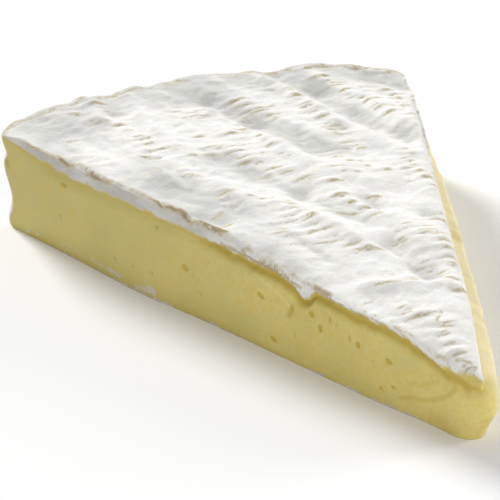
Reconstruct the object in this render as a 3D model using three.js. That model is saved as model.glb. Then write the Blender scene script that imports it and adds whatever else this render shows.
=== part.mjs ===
// Wedge of brie: one eighth of a low round wheel of soft cheese, cut from the rim to the middle.
// Millimetres, +Z up. The flat base rests on z = 0, the cut tip points to -Y and the rim faces +Y.
import * as THREE from "three";

// Driving sizes of the wedge.
const HALF_ANGLE = Math.PI / 8; // half of the cut angle: eight wedges make the wheel
const RIM_R = 189; // from the wheel's middle to the rim, half way along the rim
const CORNER_IN = 10.5; // how much nearer the rim's cut corners are
const LEFT_CORNER_POWER = 11; // how suddenly the rim turns in at its corners
const RIGHT_CORNER_POWER = 5;
const CROWN_H = 31; // height of the rind near the rim, at the cut edges
const DOME = 2; // extra height half way between the two cuts, near the rim
const DISH = 1.6; // the middle of the top lies this much lower than the dome
const TIP_SAG = 6.2; // how far the rind sinks from the rim side to the tip side
const TIP_DROOP = 9.3; // extra droop of the last stretch to the tip
const TIP_DROOP_LENGTH = 15;
const TIP_PUFF = 0.9; // the rind of the tip half puffs up before it rolls over its edges

// Rounding of the tip, seen from above. The rind's tip lies back from the paste's.
const RIND_TIP_R = 1.3;
const PASTE_TIP_R = 5;
const RIND_SHIFT_X = -1;
const RIND_SHIFT_Y = 1.5;
const RIND_SHIFT_LENGTH = 60;

// The rind on the cut faces and the soft paste under it.
const BAND_OUT = 0.3; // how far the cut rind stands out
const SOFT_BAND = 0.7; // rind seen on edge, tip side
const CRISP_BAND = 3.7; // rind seen on edge, rim side
const ROLL_SPAN = 4.2; // the rind rolls over the cut edge within this distance, tip side
const CRISP_SPAN = 1.2;
const TIP_ROLL = 0.3; // but within this share of the distance from the tip
const ROLL_MAX = 5; // it rolls down by this much at most
const CRISP_FROM = 74; // where the rolled edge turns into the crisp one
const CRISP_TO = 96;
const GROOVE_IN = 1.1; // shadow groove under the rind, tip half
const GROOVE_DOWN = 0.8; // the groove and the paste's ledge lie this far under the rind
const LEDGE_DOWN = 2.4;
const LEFT_BULGE = 0.9;
const RIGHT_BULGE = 3.8;
const RIGHT_BOW = 1.3; // the right cut bows out near the rim
const RIGHT_BOW_AT = 142;
const RIGHT_BOW_SPREAD = 28;
const NOSE_BULGE = 3.7;
const NOSE_SHIFT = 3; // the nose bulges most this far to the right of the tip
const NOSE_SPREAD = 7.5;
const NOSE_TUCK = 1.1; // the foot steps in just left of the tip
const NOSE_TUCK_AT = 15;
const NOSE_TUCK_SPREAD = 11;
const FOOT_FLARE = 1.3; // the left cut face spreads at its foot
const FOOT_FLARE_AT = 118;
const FOOT_FLARE_SPREAD = 18;

// Height where the rind ends on the cut faces: distance from the tip, height.
const RIND_FLOOR = [
  [4, 17],
  [10, 17.4],
  [24, 21.7],
  [31, 22.5],
  [60, 23.2],
  [80, 25.2],
  [110, 26.3],
  [148, 26.7],
  [166, 28.7],
  [176, 29.5],
];
const TONGUE = { at: 58.4, spread: 3, drop: 2.6 }; // a tongue of rind hangs over the left cut
const NOTCH = { at: 52.2, spread: 2.6, rise: 2.9 }; // and the rind is torn away beside it

// The rim, seen from the side.
const SHOULDER_IN = 7;
const SHOULDER_DROP = 6;
const SHARP_SHOULDER = 1.6; // the shoulder is crisper where the knife went through
const LIP_OUT = 1.4; // lip of rind left by the knife at the top of the left corner
const LIP_FADE = 0.2;
const LIP_NOTCH = 1.4; // notch in the rim under that lip
const LIP_NOTCH_DOWN = 6;
const LIP_NOTCH_SPREAD = 2;
const FOOT_R = 3.4;
const LEFT_FOOT_R = 1.2; // the foot is crisper at the left corner
const LEFT_FOOT_OUT = 1.4; // it spreads outwards there
const LEFT_FOOT_SPREAD = 5;
const CORNER_TUCK = 1; // and lies back from the cut plane
const CORNER_TUCK_FROM = 138;
const HOOP_WAVE = 1.2; // wavy print of the mould around the rim, at the left corner
const HOOP_WAVE_FAR = 0.45; // and along the rest of the rim
const HOOP_PITCH = 22;
const HOOP_CREST_Z = 19.5;
const RIM_LUMP = 0.5;

// Lumpy top: long soft ridges that run from rim to tip, and small ripples.
const RIDGE_H = 0.9;
const RIDGE_WIDTH = 14;
const RIDGE_LENGTH = 38;
const RIPPLE_H = 0.3;
const RIPPLE_WIDTH = 7;
const RIPPLE_LENGTH = 10;

// Puffs of mould with creases between them.
const PUFF_H = 0.9;
const PUFF_WIDTH = 9;
const PUFF_LENGTH = 26;
const PUFF_WANDER = 2.4;
const PUFF_LEAN = 0.3;
const PUFF_MEAN = 0.33;

// Long soft folds of the rind: ends (from the wheel's middle), half width, and height, which is
// below zero for a valley.
const FOLD_GAIN = 1.6;
const FOLD_LUMP = 0.45; // how uneven the folds are along their length
const FOLD_SPREAD = 1.15;
const FOLDS = [
  { from: [-13, 180], to: [-8, 168], half: 6.5, height: -0.9 },
  { from: [-28, 186], to: [-33, 165], half: 4.6, height: -0.9 },
  { from: [-56, 180], to: [-54, 166], half: 10, height: 1 },
  { from: [-58, 172], to: [-48, 140], half: 6, height: -0.5 },
  { from: [24, 186], to: [33, 160], half: 4.4, height: -1.2 },
  { from: [33, 160], to: [43, 117], half: 4.5, height: -1.1 },
  { from: [-2, 162], to: [5, 144], half: 4.2, height: -1 },
  { from: [5, 144], to: [14, 122], half: 5, height: -0.8 },
  { from: [-22, 133], to: [-14, 122], half: 4.6, height: -0.3 },
  { from: [-14, 122], to: [-2, 96], half: 4.2, height: -1 },
  { from: [-2, 96], to: [6, 73], half: 3.6, height: -0.9 },
  { from: [6, 60], to: [9, 44], half: 3.6, height: -1.3 },
  { from: [14, 118], to: [22, 116], half: 5, height: -0.7 },
  { from: [13, 86], to: [14, 82], half: 3, height: -1.3 },
  { from: [24, 88], to: [25, 72], half: 4.6, height: -0.9 },
  { from: [-33, 108], to: [-22, 92], half: 6.5, height: -0.6 },
  { from: [-33, 92], to: [-31, 88], half: 3, height: -0.7 },
  { from: [-24, 66], to: [-18, 50], half: 4, height: -0.6 },
  { from: [-12, 40], to: [-4, 18], half: 4, height: -0.5 },
  { from: [57, 164], to: [62, 154], half: 5.4, height: -0.9 },
  { from: [-38, 182], to: [-38, 160], half: 2.8, height: 0.7 },
  { from: [-25, 174], to: [-26, 126], half: 2.8, height: 0.7 },
  { from: [-19, 182], to: [-4, 156], half: 2.4, height: 0.6 },
  { from: [-4, 156], to: [7, 112], half: 2.2, height: 0.6 },
  { from: [21, 172], to: [28, 134], half: 2.6, height: 0.9 },
  { from: [-47, 150], to: [-38, 118], half: 3.6, height: 0.6 },
  { from: [-24, 108], to: [-15, 84], half: 3, height: 0.6 },
  { from: [-13, 92], to: [4, 52], half: 2.6, height: 0.8 },
  { from: [10, 104], to: [20, 92], half: 3, height: 0.5 },
  { from: [-10, 44], to: [10, 38], half: 2.4, height: 0.6 },
  { from: [47, 156], to: [46, 126], half: 3.2, height: 0.6 },
  { from: [50, 180], to: [66, 172], half: 5.5, height: 0.7 },
  { from: [-71, 169], to: [-67, 174], half: 4, height: -0.7 },
];

// Fineness of the mesh.
const TOP_ROWS = 64;
const ROW_POWER = 1.22; // rows lie closer together towards the tip
const SHOULDER_ROWS = 4;
const SIDE_ROWS = 8;
const FOOT_ROWS = 3;
const WALL_ROWS = SHOULDER_ROWS + SIDE_ROWS + FOOT_ROWS;
const CORNER_BLEND = 16; // the cut faces' mesh turns to the rim's over this length

const clamp01 = (t) => Math.min(1, Math.max(0, t));
const mix = (a, b, t) => a + (b - a) * t;
const bell = (x, middle, width) => Math.exp(-(((x - middle) / width) ** 2));

function smooth(from, to, x) {
  const t = clamp01((x - from) / (to - from));
  return t * t * (3 - 2 * t);
}

// Repeatable random value from 0 to 1 at a whole-number point.
function scatter(i, j, seed) {
  const s = Math.sin(i * 127.1 + j * 311.7 + seed * 74.7) * 43758.5453;
  return s - Math.floor(s);
}

// Smooth random height from -1 to 1.
function noise(x, y, seed) {
  const i = Math.floor(x);
  const j = Math.floor(y);
  const u = smooth(0, 1, x - i);
  const v = smooth(0, 1, y - j);
  const near = mix(scatter(i, j, seed), scatter(i + 1, j, seed), u);
  const far = mix(scatter(i, j + 1, seed), scatter(i + 1, j + 1, seed), u);
  return 2 * mix(near, far, v) - 1;
}

// Radius of the rim at an angle from the middle line, before its own roundings.
function rimRadius(angle) {
  const power = angle < 0 ? LEFT_CORNER_POWER : RIGHT_CORNER_POWER;
  return RIM_R - CORNER_IN * (Math.abs(angle) / HALF_ANGLE) ** power;
}

// 1 at the cut corners of the rim, 0 away from them.
function nearCorner(angle) {
  return smooth(0.7, 1, Math.abs(angle) / HALF_ANGLE);
}

function shoulderIn(angle) {
  return mix(SHOULDER_IN, SHARP_SHOULDER, nearCorner(angle));
}

function shoulderDrop(angle) {
  return mix(SHOULDER_DROP, SHARP_SHOULDER, nearCorner(angle));
}

// Extra reach of the lip at the top of the left corner.
function lipReach(angle) {
  return LIP_OUT * smooth(0.8, 1, -angle / HALF_ANGLE);
}

// Radius where the top ends and the shoulder starts.
function topEdgeRadius(angle) {
  return rimRadius(angle) + lipReach(angle) - shoulderIn(angle);
}

const EDGE_LENGTH = topEdgeRadius(HALF_ANGLE);

// Height added by the folds.
function foldHeight(x, y) {
  let total = 0;
  for (const { from, to, half, height } of FOLDS) {
    const dx = to[0] - from[0];
    const dy = to[1] - from[1];
    const t = clamp01(((x - from[0]) * dx + (y - from[1]) * dy) / (dx * dx + dy * dy));
    const wobble = 0.22 * half * noise(x / 5 + from[0], y / 6 + from[1], 21);
    const d = Math.hypot(x - from[0] - t * dx + wobble, y - from[1] - t * dy);
    const lump = 1 + FOLD_LUMP * noise(x / 7 + half, y / 10, 22);
    total += FOLD_GAIN * height * lump * Math.exp(-((d / (FOLD_SPREAD * half)) ** 2));
  }
  return total;
}

function puffHeight(x, y) {
  const wx = x + PUFF_WANDER * noise(x / PUFF_WIDTH, y / PUFF_WIDTH, 61) + PUFF_LEAN * y;
  const wy = y + PUFF_WANDER * noise(x / PUFF_WIDTH, y / PUFF_WIDTH, 62) - PUFF_LEAN * x;
  return PUFF_H * Math.hypot(noise(wx / PUFF_WIDTH, wy / PUFF_LENGTH, 63), 0.12);
}

// Height of the top before its cut edges roll down.
function plainHeight(x, y) {
  const r = Math.hypot(x, y);
  const angle = Math.atan2(x, y);
  const across = angle / HALF_ANGLE;
  let h = CROWN_H - TIP_SAG * (1 - smooth(15, 130, r));
  h -= TIP_DROOP * Math.exp(-r / TIP_DROOP_LENGTH);
  h += TIP_PUFF * (1 - smooth(50, 100, r));
  h += DOME * (1 - across * across) * smooth(60, 170, r);
  h -= DISH * (1 - across ** 4) * smooth(60, 120, r) * (1 - smooth(140, 182, r));
  const lumps = smooth(4, 40, r);
  h += RIDGE_H * lumps * noise(x / RIDGE_WIDTH, y / RIDGE_LENGTH, 1);
  h += RIPPLE_H * lumps * noise(x / RIPPLE_WIDTH, y / RIPPLE_LENGTH, 2);
  h += foldHeight(x, y);
  h += lumps * (1 - 0.65 * smooth(158, 180, r)) * (puffHeight(x, y) - PUFF_MEAN);
  return h;
}

function rindFloor(r) {
  const next = RIND_FLOOR.findIndex((point) => point[0] > r);
  if (next === 0) {
    return RIND_FLOOR[0][1];
  }
  if (next < 0) {
    return RIND_FLOOR[RIND_FLOOR.length - 1][1];
  }
  const [r0, z0] = RIND_FLOOR[next - 1];
  const [r1, z1] = RIND_FLOOR[next];
  return mix(z0, z1, (r - r0) / (r1 - r0));
}

// 1 where the knife left a crisp rind edge, 0 where the rind rolls over it.
function crispShare(x, r) {
  const share = x < 0 ? smooth(CRISP_FROM, CRISP_TO, r) : 0.5 * smooth(90, 150, r);
  return Math.max(share, smooth(EDGE_LENGTH - 20, EDGE_LENGTH, r));
}

// Height of the top above the base.
function topHeight(x, y) {
  const r = Math.hypot(x, y);
  const side = x < 0 ? -1 : 1;
  const away = Math.max(0, HALF_ANGLE - Math.abs(Math.atan2(x, y)));
  const d = r * Math.sin(away);
  const edge = plainHeight(side * r * Math.sin(HALF_ANGLE), r * Math.cos(HALF_ANGLE));
  const crisp = crispShare(x, r);
  const goal = rindFloor(r) + mix(SOFT_BAND, CRISP_BAND, crisp);
  const drop = Math.min(ROLL_MAX, Math.max(0, edge - goal)) * smooth(0, 5, r);
  const span = Math.min(mix(ROLL_SPAN, CRISP_SPAN, crisp), 0.3 + TIP_ROLL * r);
  const near = clamp01(1 - d / span);
  return plainHeight(x, y) - drop * (1 - Math.sqrt(1 - near * near));
}

// Outline of one rounded tip, seen from above. s runs along the cut edge from the tip, and side is
// -1 for the left cut and 1 for the right cut.
function cutOutline(s, side, tipR) {
  const tangent = tipR / Math.tan(HALF_ANGLE);
  if (s >= tangent) {
    return { x: side * s * Math.sin(HALF_ANGLE), y: s * Math.cos(HALF_ANGLE) };
  }
  const turn = (s / tangent) * (Math.PI / 2 - HALF_ANGLE);
  const middle = tipR / Math.sin(HALF_ANGLE);
  return { x: side * tipR * Math.sin(turn), y: middle - tipR * Math.cos(turn) };
}

// Outward direction of the cut outline.
function cutNormal(s, side) {
  const tangent = PASTE_TIP_R / Math.tan(HALF_ANGLE);
  const turn = Math.min(1, s / tangent) * (Math.PI / 2 - HALF_ANGLE);
  return { x: side * Math.sin(turn), y: -Math.cos(turn) };
}

// How far the whole right cut bows out near the rim.
function rightBow(t) {
  return RIGHT_BOW * bell(t, RIGHT_BOW_AT, RIGHT_BOW_SPREAD) * (1 - smooth(165, EDGE_LENGTH, t));
}

// Share of the rind's set-back at a distance from the tip.
function rindShift(s) {
  return 1 - smooth(0, RIND_SHIFT_LENGTH, s);
}

// How far the paste swells past the cut, at its fullest height. t is -s left and +s right.
function pasteBulge(t) {
  const right = RIGHT_BULGE * smooth(0, 20, t) * (1 - smooth(90, 160, t));
  return LEFT_BULGE + NOSE_BULGE * bell(t, NOSE_SHIFT, NOSE_SPREAD) + right;
}

// Share of the bulge at a share of the height. The foot steps in least under the right of the nose,
// and the nose slopes back most towards the rind.
function bulgeShare(t, up) {
  const foot = mix(0.05, 0.51, smooth(-22, 6, t));
  const slope = mix(0.15, 0.4, smooth(-2, 6, t) * (1 - smooth(20, 50, t)));
  return mix(foot, 1, smooth(0, 0.42, up)) - slope * smooth(0.45, 1, up);
}

// How far the foot of the left corner lies back from the cut plane at a share of the height.
function cornerTuck(up) {
  return CORNER_TUCK * (1 - up) ** 2;
}

// Point j of the rim's side, from the top edge (0) to the base (WALL_ROWS).
function rimPoint(angle, j) {
  const edgeR = topEdgeRadius(angle);
  const edgeH = topHeight(edgeR * Math.sin(angle), edgeR * Math.cos(angle));
  const drop = shoulderDrop(angle);
  const sideTop = edgeH - drop;
  const left = smooth(0.8, 1, -angle / HALF_ANGLE);
  const footR = mix(FOOT_R, LEFT_FOOT_R, left);
  let r = rimRadius(angle);
  let z = 0;
  if (j <= SHOULDER_ROWS) {
    const turn = (j / SHOULDER_ROWS) * (Math.PI / 2);
    r += lipReach(angle) - shoulderIn(angle) * (1 - Math.sin(turn));
    z = sideTop + drop * Math.cos(turn);
  } else if (j <= SHOULDER_ROWS + SIDE_ROWS) {
    const down = (j - SHOULDER_ROWS) / SIDE_ROWS;
    z = mix(sideTop, footR, down);
    r += lipReach(angle) * (1 - smooth(0, LIP_FADE, down));
  } else {
    const turn = ((j - SHOULDER_ROWS - SIDE_ROWS) / FOOT_ROWS) * (Math.PI / 2);
    z = footR * (1 - Math.sin(turn));
    r -= footR * (1 - Math.cos(turn));
  }
  const wave = Math.cos((2 * Math.PI * (z - HOOP_CREST_Z + 5 * angle)) / HOOP_PITCH);
  const fade = smooth(0, 4, z) * smooth(0, 5, edgeH - z);
  r += mix(HOOP_WAVE_FAR, HOOP_WAVE, left) * wave * fade;
  r -= LIP_NOTCH * left * bell(z, edgeH - LIP_NOTCH_DOWN, LIP_NOTCH_SPREAD);
  r += LEFT_FOOT_OUT * left * bell(z, 0, LEFT_FOOT_SPREAD);
  r += RIM_LUMP * noise(angle * 21, z / 9, 8) * fade * (1 - nearCorner(angle));
  return { r, z, tuck: cornerTuck(z / edgeH) };
}

// Distance along the cut edge of row k of the top.
function rowReach(k) {
  return EDGE_LENGTH * (k / TOP_ROWS) ** ROW_POWER;
}

function raised(x, y) {
  return new THREE.Vector3(x, y, topHeight(x, y));
}

// Point i of row k of the top.
function topPoint(k, i) {
  const s = rowReach(k);
  const left = cutOutline(s, -1, RIND_TIP_R);
  const moveX = RIND_SHIFT_X * rindShift(s);
  const moveY = RIND_SHIFT_Y * rindShift(s);
  if (k === 0) {
    return raised(left.x + moveX, left.y + moveY);
  }
  const t = (2 * i) / k - 1;
  let x = -left.x * t;
  let y = left.y + Math.sqrt(s * s - (s * Math.sin(HALF_ANGLE) * t) ** 2) - s * Math.cos(HALF_ANGLE);
  const angle = Math.atan2(x, y);
  const side = angle < 0 ? -HALF_ANGLE : HALF_ANGLE;
  const cornerR = mix(topEdgeRadius(-HALF_ANGLE), topEdgeRadius(HALF_ANGLE), (t + 1) / 2);
  const reach = (k / TOP_ROWS) ** 2;
  let stretch = mix(1, topEdgeRadius(angle) / EDGE_LENGTH, reach);
  if (i === 0 || i === k) {
    stretch = mix(1, cornerR / EDGE_LENGTH, reach);
    const r = Math.hypot(x, y) * stretch;
    if (s > RIND_TIP_R / Math.tan(HALF_ANGLE)) {
      const bow = i === 0 ? 0 : rightBow(s);
      x = r * Math.sin(side) + bow * Math.cos(HALF_ANGLE);
      y = r * Math.cos(side) - bow * Math.sin(HALF_ANGLE);
      return raised(x + moveX, y + moveY);
    }
  }
  const bow = rightBow(s) * ((t + 1) / 2) ** 3;
  x = x * stretch + bow * Math.cos(HALF_ANGLE);
  y = y * stretch - bow * Math.sin(HALF_ANGLE);
  return raised(x + moveX, y + moveY);
}

// How much rind shows on edge under the cut edge.
function bandDepth(t, edgeZ) {
  let low = rindFloor(Math.abs(t));
  low -= TONGUE.drop * bell(t, -TONGUE.at, TONGUE.spread);
  low += NOTCH.rise * bell(t, -NOTCH.at, NOTCH.spread);
  return Math.min(5.6, Math.max(0.35, edgeZ - low));
}

function grooveDepth(t) {
  const left = mix(0.55, 1, smooth(40, 56, -t)) * (1 - smooth(84, 100, -t));
  const right = 1 - smooth(110, 150, t);
  return GROOVE_IN * (t < 0 ? left : right);
}

// Point j of a cut face under the top's edge point, from 1 to WALL_ROWS. k is the top row.
function cutPoint(k, side, j) {
  const edge = topPoint(k, side < 0 ? 0 : k);
  const s = rowReach(k);
  const t = side * s;
  const band = bandDepth(t, edge.z);
  const depths = [0, 0.4 * band, band, band + GROOVE_DOWN, band + LEDGE_DOWN];
  const first = depths.length - 1;
  let z;
  if (j <= first) {
    z = edge.z - depths[j];
  } else {
    z = mix(edge.z - depths[first], 0, (j - first) / (WALL_ROWS - first));
  }
  const up = z / edge.z;
  let tipR = PASTE_TIP_R;
  let held = 0; // share of the rind's set-back
  let out = pasteBulge(t) * bulgeShare(t, up);
  if (j <= 2) {
    tipR = RIND_TIP_R;
    held = 1;
    out = BAND_OUT * crispShare(side, s);
  } else if (j === 3) {
    tipR = mix(RIND_TIP_R, PASTE_TIP_R, 0.5);
    held = 0.5;
    out = 0.3 * out - grooveDepth(t);
  } else if (j === 4) {
    out *= 0.65;
  }
  const low = (1 - up) * (1 - up);
  out += FOOT_FLARE * bell(t, -FOOT_FLARE_AT, FOOT_FLARE_SPREAD) * low;
  out -= NOSE_TUCK * bell(t, -NOSE_TUCK_AT, NOSE_TUCK_SPREAD) * low;
  out += rightBow(t);
  const outline = cutOutline(s, side, tipR);
  const normal = cutNormal(s, side);
  const cornerAngle = side * HALF_ANGLE;
  const w = smooth(EDGE_LENGTH - CORNER_BLEND, EDGE_LENGTH, s);
  const rim = rimPoint(cornerAngle, j);
  const reach = Math.hypot(outline.x, outline.y);
  const r = reach < 20 ? reach : mix(Math.hypot(edge.x, edge.y), rim.r, w * w);
  const scale = reach > 0 ? r / reach : 1;
  let x = outline.x * scale + normal.x * out * (1 - w) + RIND_SHIFT_X * rindShift(s) * held;
  let y = outline.y * scale + normal.y * out * (1 - w) + RIND_SHIFT_Y * rindShift(s) * held;
  z = mix(z, rim.z, w);
  if (side < 0) {
    const back = cornerTuck(z / edge.z) * smooth(CORNER_TUCK_FROM, EDGE_LENGTH, s);
    x += back * Math.cos(HALF_ANGLE);
    y += back * Math.sin(HALF_ANGLE);
  }
  return new THREE.Vector3(x, y, z);
}

// Vertices, then triangles, of the whole closed solid.
function wedgeGeometry() {
  const points = [];
  const faces = [];
  const add = (p) => points.push(p) - 1;

  // Top.
  const top = [];
  for (let k = 0; k <= TOP_ROWS; k += 1) {
    top.push([]);
    for (let i = 0; i <= k; i += 1) {
      top[k].push(add(topPoint(k, i)));
    }
  }
  for (let k = 0; k < TOP_ROWS; k += 1) {
    for (let i = 0; i <= k; i += 1) {
      faces.push([top[k][i], top[k + 1][i + 1], top[k + 1][i]]);
      if (i < k) {
        faces.push([top[k][i], top[k][i + 1], top[k + 1][i + 1]]);
      }
    }
  }

  // Closed side: along the left cut from rim to tip, back along the right cut, and round the rim.
  const columns = [];
  for (let k = TOP_ROWS; k >= 0; k -= 1) {
    const column = [top[k][0]];
    for (let j = 1; j <= WALL_ROWS; j += 1) {
      column.push(add(cutPoint(k, -1, j)));
    }
    columns.push(column);
  }
  for (let k = 1; k <= TOP_ROWS; k += 1) {
    const column = [top[k][k]];
    for (let j = 1; j <= WALL_ROWS; j += 1) {
      column.push(add(cutPoint(k, 1, j)));
    }
    columns.push(column);
  }
  for (let i = TOP_ROWS - 1; i >= 1; i -= 1) {
    const edge = points[top[TOP_ROWS][i]];
    const angle = Math.atan2(edge.x, edge.y);
    const column = [top[TOP_ROWS][i]];
    for (let j = 1; j <= WALL_ROWS; j += 1) {
      const rim = rimPoint(angle, j);
      const back = rim.tuck * smooth(0.72, 1, -angle / HALF_ANGLE);
      const x = rim.r * Math.sin(angle) + back * Math.cos(HALF_ANGLE);
      const y = rim.r * Math.cos(angle) + back * Math.sin(HALF_ANGLE);
      column.push(add(new THREE.Vector3(x, y, rim.z)));
    }
    columns.push(column);
  }
  columns.forEach((column, c) => {
    const next = columns[(c + 1) % columns.length];
    for (let j = 0; j < WALL_ROWS; j += 1) {
      faces.push([column[j], column[j + 1], next[j + 1]]);
      faces.push([column[j], next[j + 1], next[j]]);
    }
  });

  // Flat base.
  const foot = columns.map((column) => column[WALL_ROWS]);
  const outline = foot.map((index) => new THREE.Vector2(points[index].x, points[index].y));
  for (const [a, b, c] of THREE.ShapeUtils.triangulateShape(outline, [])) {
    faces.push([foot[c], foot[b], foot[a]]);
  }

  const geometry = new THREE.BufferGeometry();
  geometry.setFromPoints(points);
  geometry.setIndex(faces.flat());
  geometry.computeBoundingBox();
  const box = geometry.boundingBox;
  geometry.translate(-(box.min.x + box.max.x) / 2, -(box.min.y + box.max.y) / 2, -box.min.z);
  geometry.computeVertexNormals();
  return geometry;
}

const cheese = new THREE.MeshStandardMaterial({ color: 0xe9dfbf, roughness: 0.7, metalness: 0 });
const wedge = new THREE.Mesh(wedgeGeometry(), cheese);
wedge.name = "brie_wedge";

const part = new THREE.Group();
part.name = "brie_wedge_part";
part.add(wedge);

export default part;
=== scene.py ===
"""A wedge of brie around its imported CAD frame: one closed mesh, with a floor, lights and a camera.

Sizes are in millimetres from the middle of the wheel (X right, Y towards the rim, Z up) until the mesh
is moved to the CAD frame and turned to metres. Places along a cut are distances from the tip, and
where both cuts are meant, t is that distance: below zero on the left cut, above zero on the right.
"""
import math

import bpy
import numpy as np
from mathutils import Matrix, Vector
from mathutils.geometry import delaunay_2d_cdt


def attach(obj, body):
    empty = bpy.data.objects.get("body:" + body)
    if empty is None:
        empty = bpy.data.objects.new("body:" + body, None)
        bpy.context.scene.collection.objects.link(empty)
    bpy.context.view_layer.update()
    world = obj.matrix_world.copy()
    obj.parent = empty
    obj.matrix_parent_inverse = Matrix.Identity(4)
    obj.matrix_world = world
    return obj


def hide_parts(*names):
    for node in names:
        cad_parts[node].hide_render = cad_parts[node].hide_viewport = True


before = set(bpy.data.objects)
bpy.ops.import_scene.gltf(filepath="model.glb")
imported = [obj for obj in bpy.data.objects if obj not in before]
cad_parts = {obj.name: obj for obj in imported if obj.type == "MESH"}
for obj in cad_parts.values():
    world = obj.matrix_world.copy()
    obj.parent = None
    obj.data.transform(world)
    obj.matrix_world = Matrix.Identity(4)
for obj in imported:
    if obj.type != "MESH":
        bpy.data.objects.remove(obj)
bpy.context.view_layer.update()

MM = 0.001

# Driving sizes, as in the solid. Only RIND_TIP_R, RIND_SHIFT_X and GROOVE_IN are a little smaller here.
HALF_ANGLE = math.pi / 8
HALF_SIN = math.sin(HALF_ANGLE)
HALF_COS = math.cos(HALF_ANGLE)
HALF_TAN = math.tan(HALF_ANGLE)
RIM_R = 189.0
CORNER_IN = 10.5
LEFT_CORNER_POWER = 11
RIGHT_CORNER_POWER = 5
CROWN_H = 31.0
DOME = 2.0
DISH = 1.6
TIP_SAG = 6.2
TIP_DROOP = 9.3
TIP_DROOP_LENGTH = 15.0
RIND_TIP_R = 0.6
RIND_SHIFT_X = -0.7
RIND_SHIFT_Y = 1.5
RIND_SHIFT_LENGTH = 60.0
PASTE_TIP_R = 5.0
BAND_OUT = 0.3
GROOVE_IN = 1.0
GROOVE_LEFT_NEAR = 0.55
GROOVE_LEFT_DEEPENS = (40, 56)
GROOVE_LEFT_FAR = 0.22
GROOVE_LEFT_FADES = (84, 100)
GROOVE_LEFT_ENDS = (150, 170)
GROOVE_RIGHT_ENDS = (110, 150)
LEFT_BULGE = 0.9
RIGHT_BULGE = 3.8
RIGHT_BULGE_STARTS = (0, 20)
RIGHT_BULGE_ENDS = (90, 160)
RIGHT_BOW = 1.3
RIGHT_BOW_AT = 142.0
RIGHT_BOW_SPREAD = 28.0
RIGHT_BOW_END = 165.0
NOSE_BULGE = 3.7
NOSE_SHIFT = 3.0
NOSE_SPREAD = 7.5
NOSE_TUCK = 1.1
NOSE_TUCK_AT = 15.0
NOSE_TUCK_SPREAD = 11.0
FOOT_FLARE = 1.3
FOOT_FLARE_AT = 118.0
FOOT_FLARE_SPREAD = 18.0
SHOULDER_IN = 7.0
SHOULDER_DROP = 6.0
SHARP_SHOULDER = 1.6
SHOULDER_SHARE = 0.24
FOOT_SHARE = 0.86
LIP_OUT = 1.4
LIP_FADE = 0.2
LIP_NOTCH = 1.4
LIP_NOTCH_DOWN = 6.0
LIP_NOTCH_SPREAD = 2.0
FOOT_R = 3.4
LEFT_FOOT_R = 1.2
LEFT_FOOT_OUT = 1.4
LEFT_FOOT_SPREAD = 5.0
CORNER_TUCK = 1.0
CORNER_TUCK_FROM = 138.0
HOOP_WAVE = 1.2
HOOP_WAVE_FAR = 0.45
HOOP_PITCH = 22.0
HOOP_CREST_Z = 19.5
HOOP_SLANT = 5
HOOP_STARTS = (0, 4)
HOOP_ENDS = (0, 5)
RIDGE_H = 0.9
RIDGE_WIDTH = 14.0
RIDGE_LENGTH = 38.0
RIPPLE_H = 0.3
RIPPLE_WIDTH = 7.0
RIPPLE_LENGTH = 10.0
CORNER_BLEND = 16.0

# Where the middle of the CAD box's base lies, seen from the wheel's middle.
MIDDLE = (-0.15, 96.64, 0.0)

# Shares of the half angle where the corners of the rim begin.
CORNER_FROM = 0.7
LEFT_CORNER_FROM = 0.8
LEFT_TUCK_FROM = 0.72

# The rind rolls over the cut edge on the tip half, and is crisp towards the rim.
SOFT_BAND = 0.7
CRISP_BAND = 3.7
ROLL_SPAN = 4.2
ROLL_MAX = 5.0
ROLL_FROM_TIP = (0, 5)
TIP_ROLL = 0.3
TIP_ROLL_LEAST = 0.3
TIP_PUFF = 0.9
CRISP_SPAN = 1.2
CRISP_LEFT = (74.0, 96.0)
CRISP_RIGHT = (0.5, 90, 150)
CRISP_CORNER = 20
CRISP_WAVE_H = 0.4
CRISP_WAVE_IN = 1.6
CRISP_WAVE_LENGTH = 3.2

# Distances from the tip over which a form of the top starts or ends.
TIP_SAG_ENDS = (15, 130)
TIP_PUFF_ENDS = (50, 100)
DOME_STARTS = (60, 170)
DISH_STARTS = (60, 120)
DISH_ENDS = (140, 182)
LUMPS_START = (4, 40)
ROUGH_STARTS = (0, 8)

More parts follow.
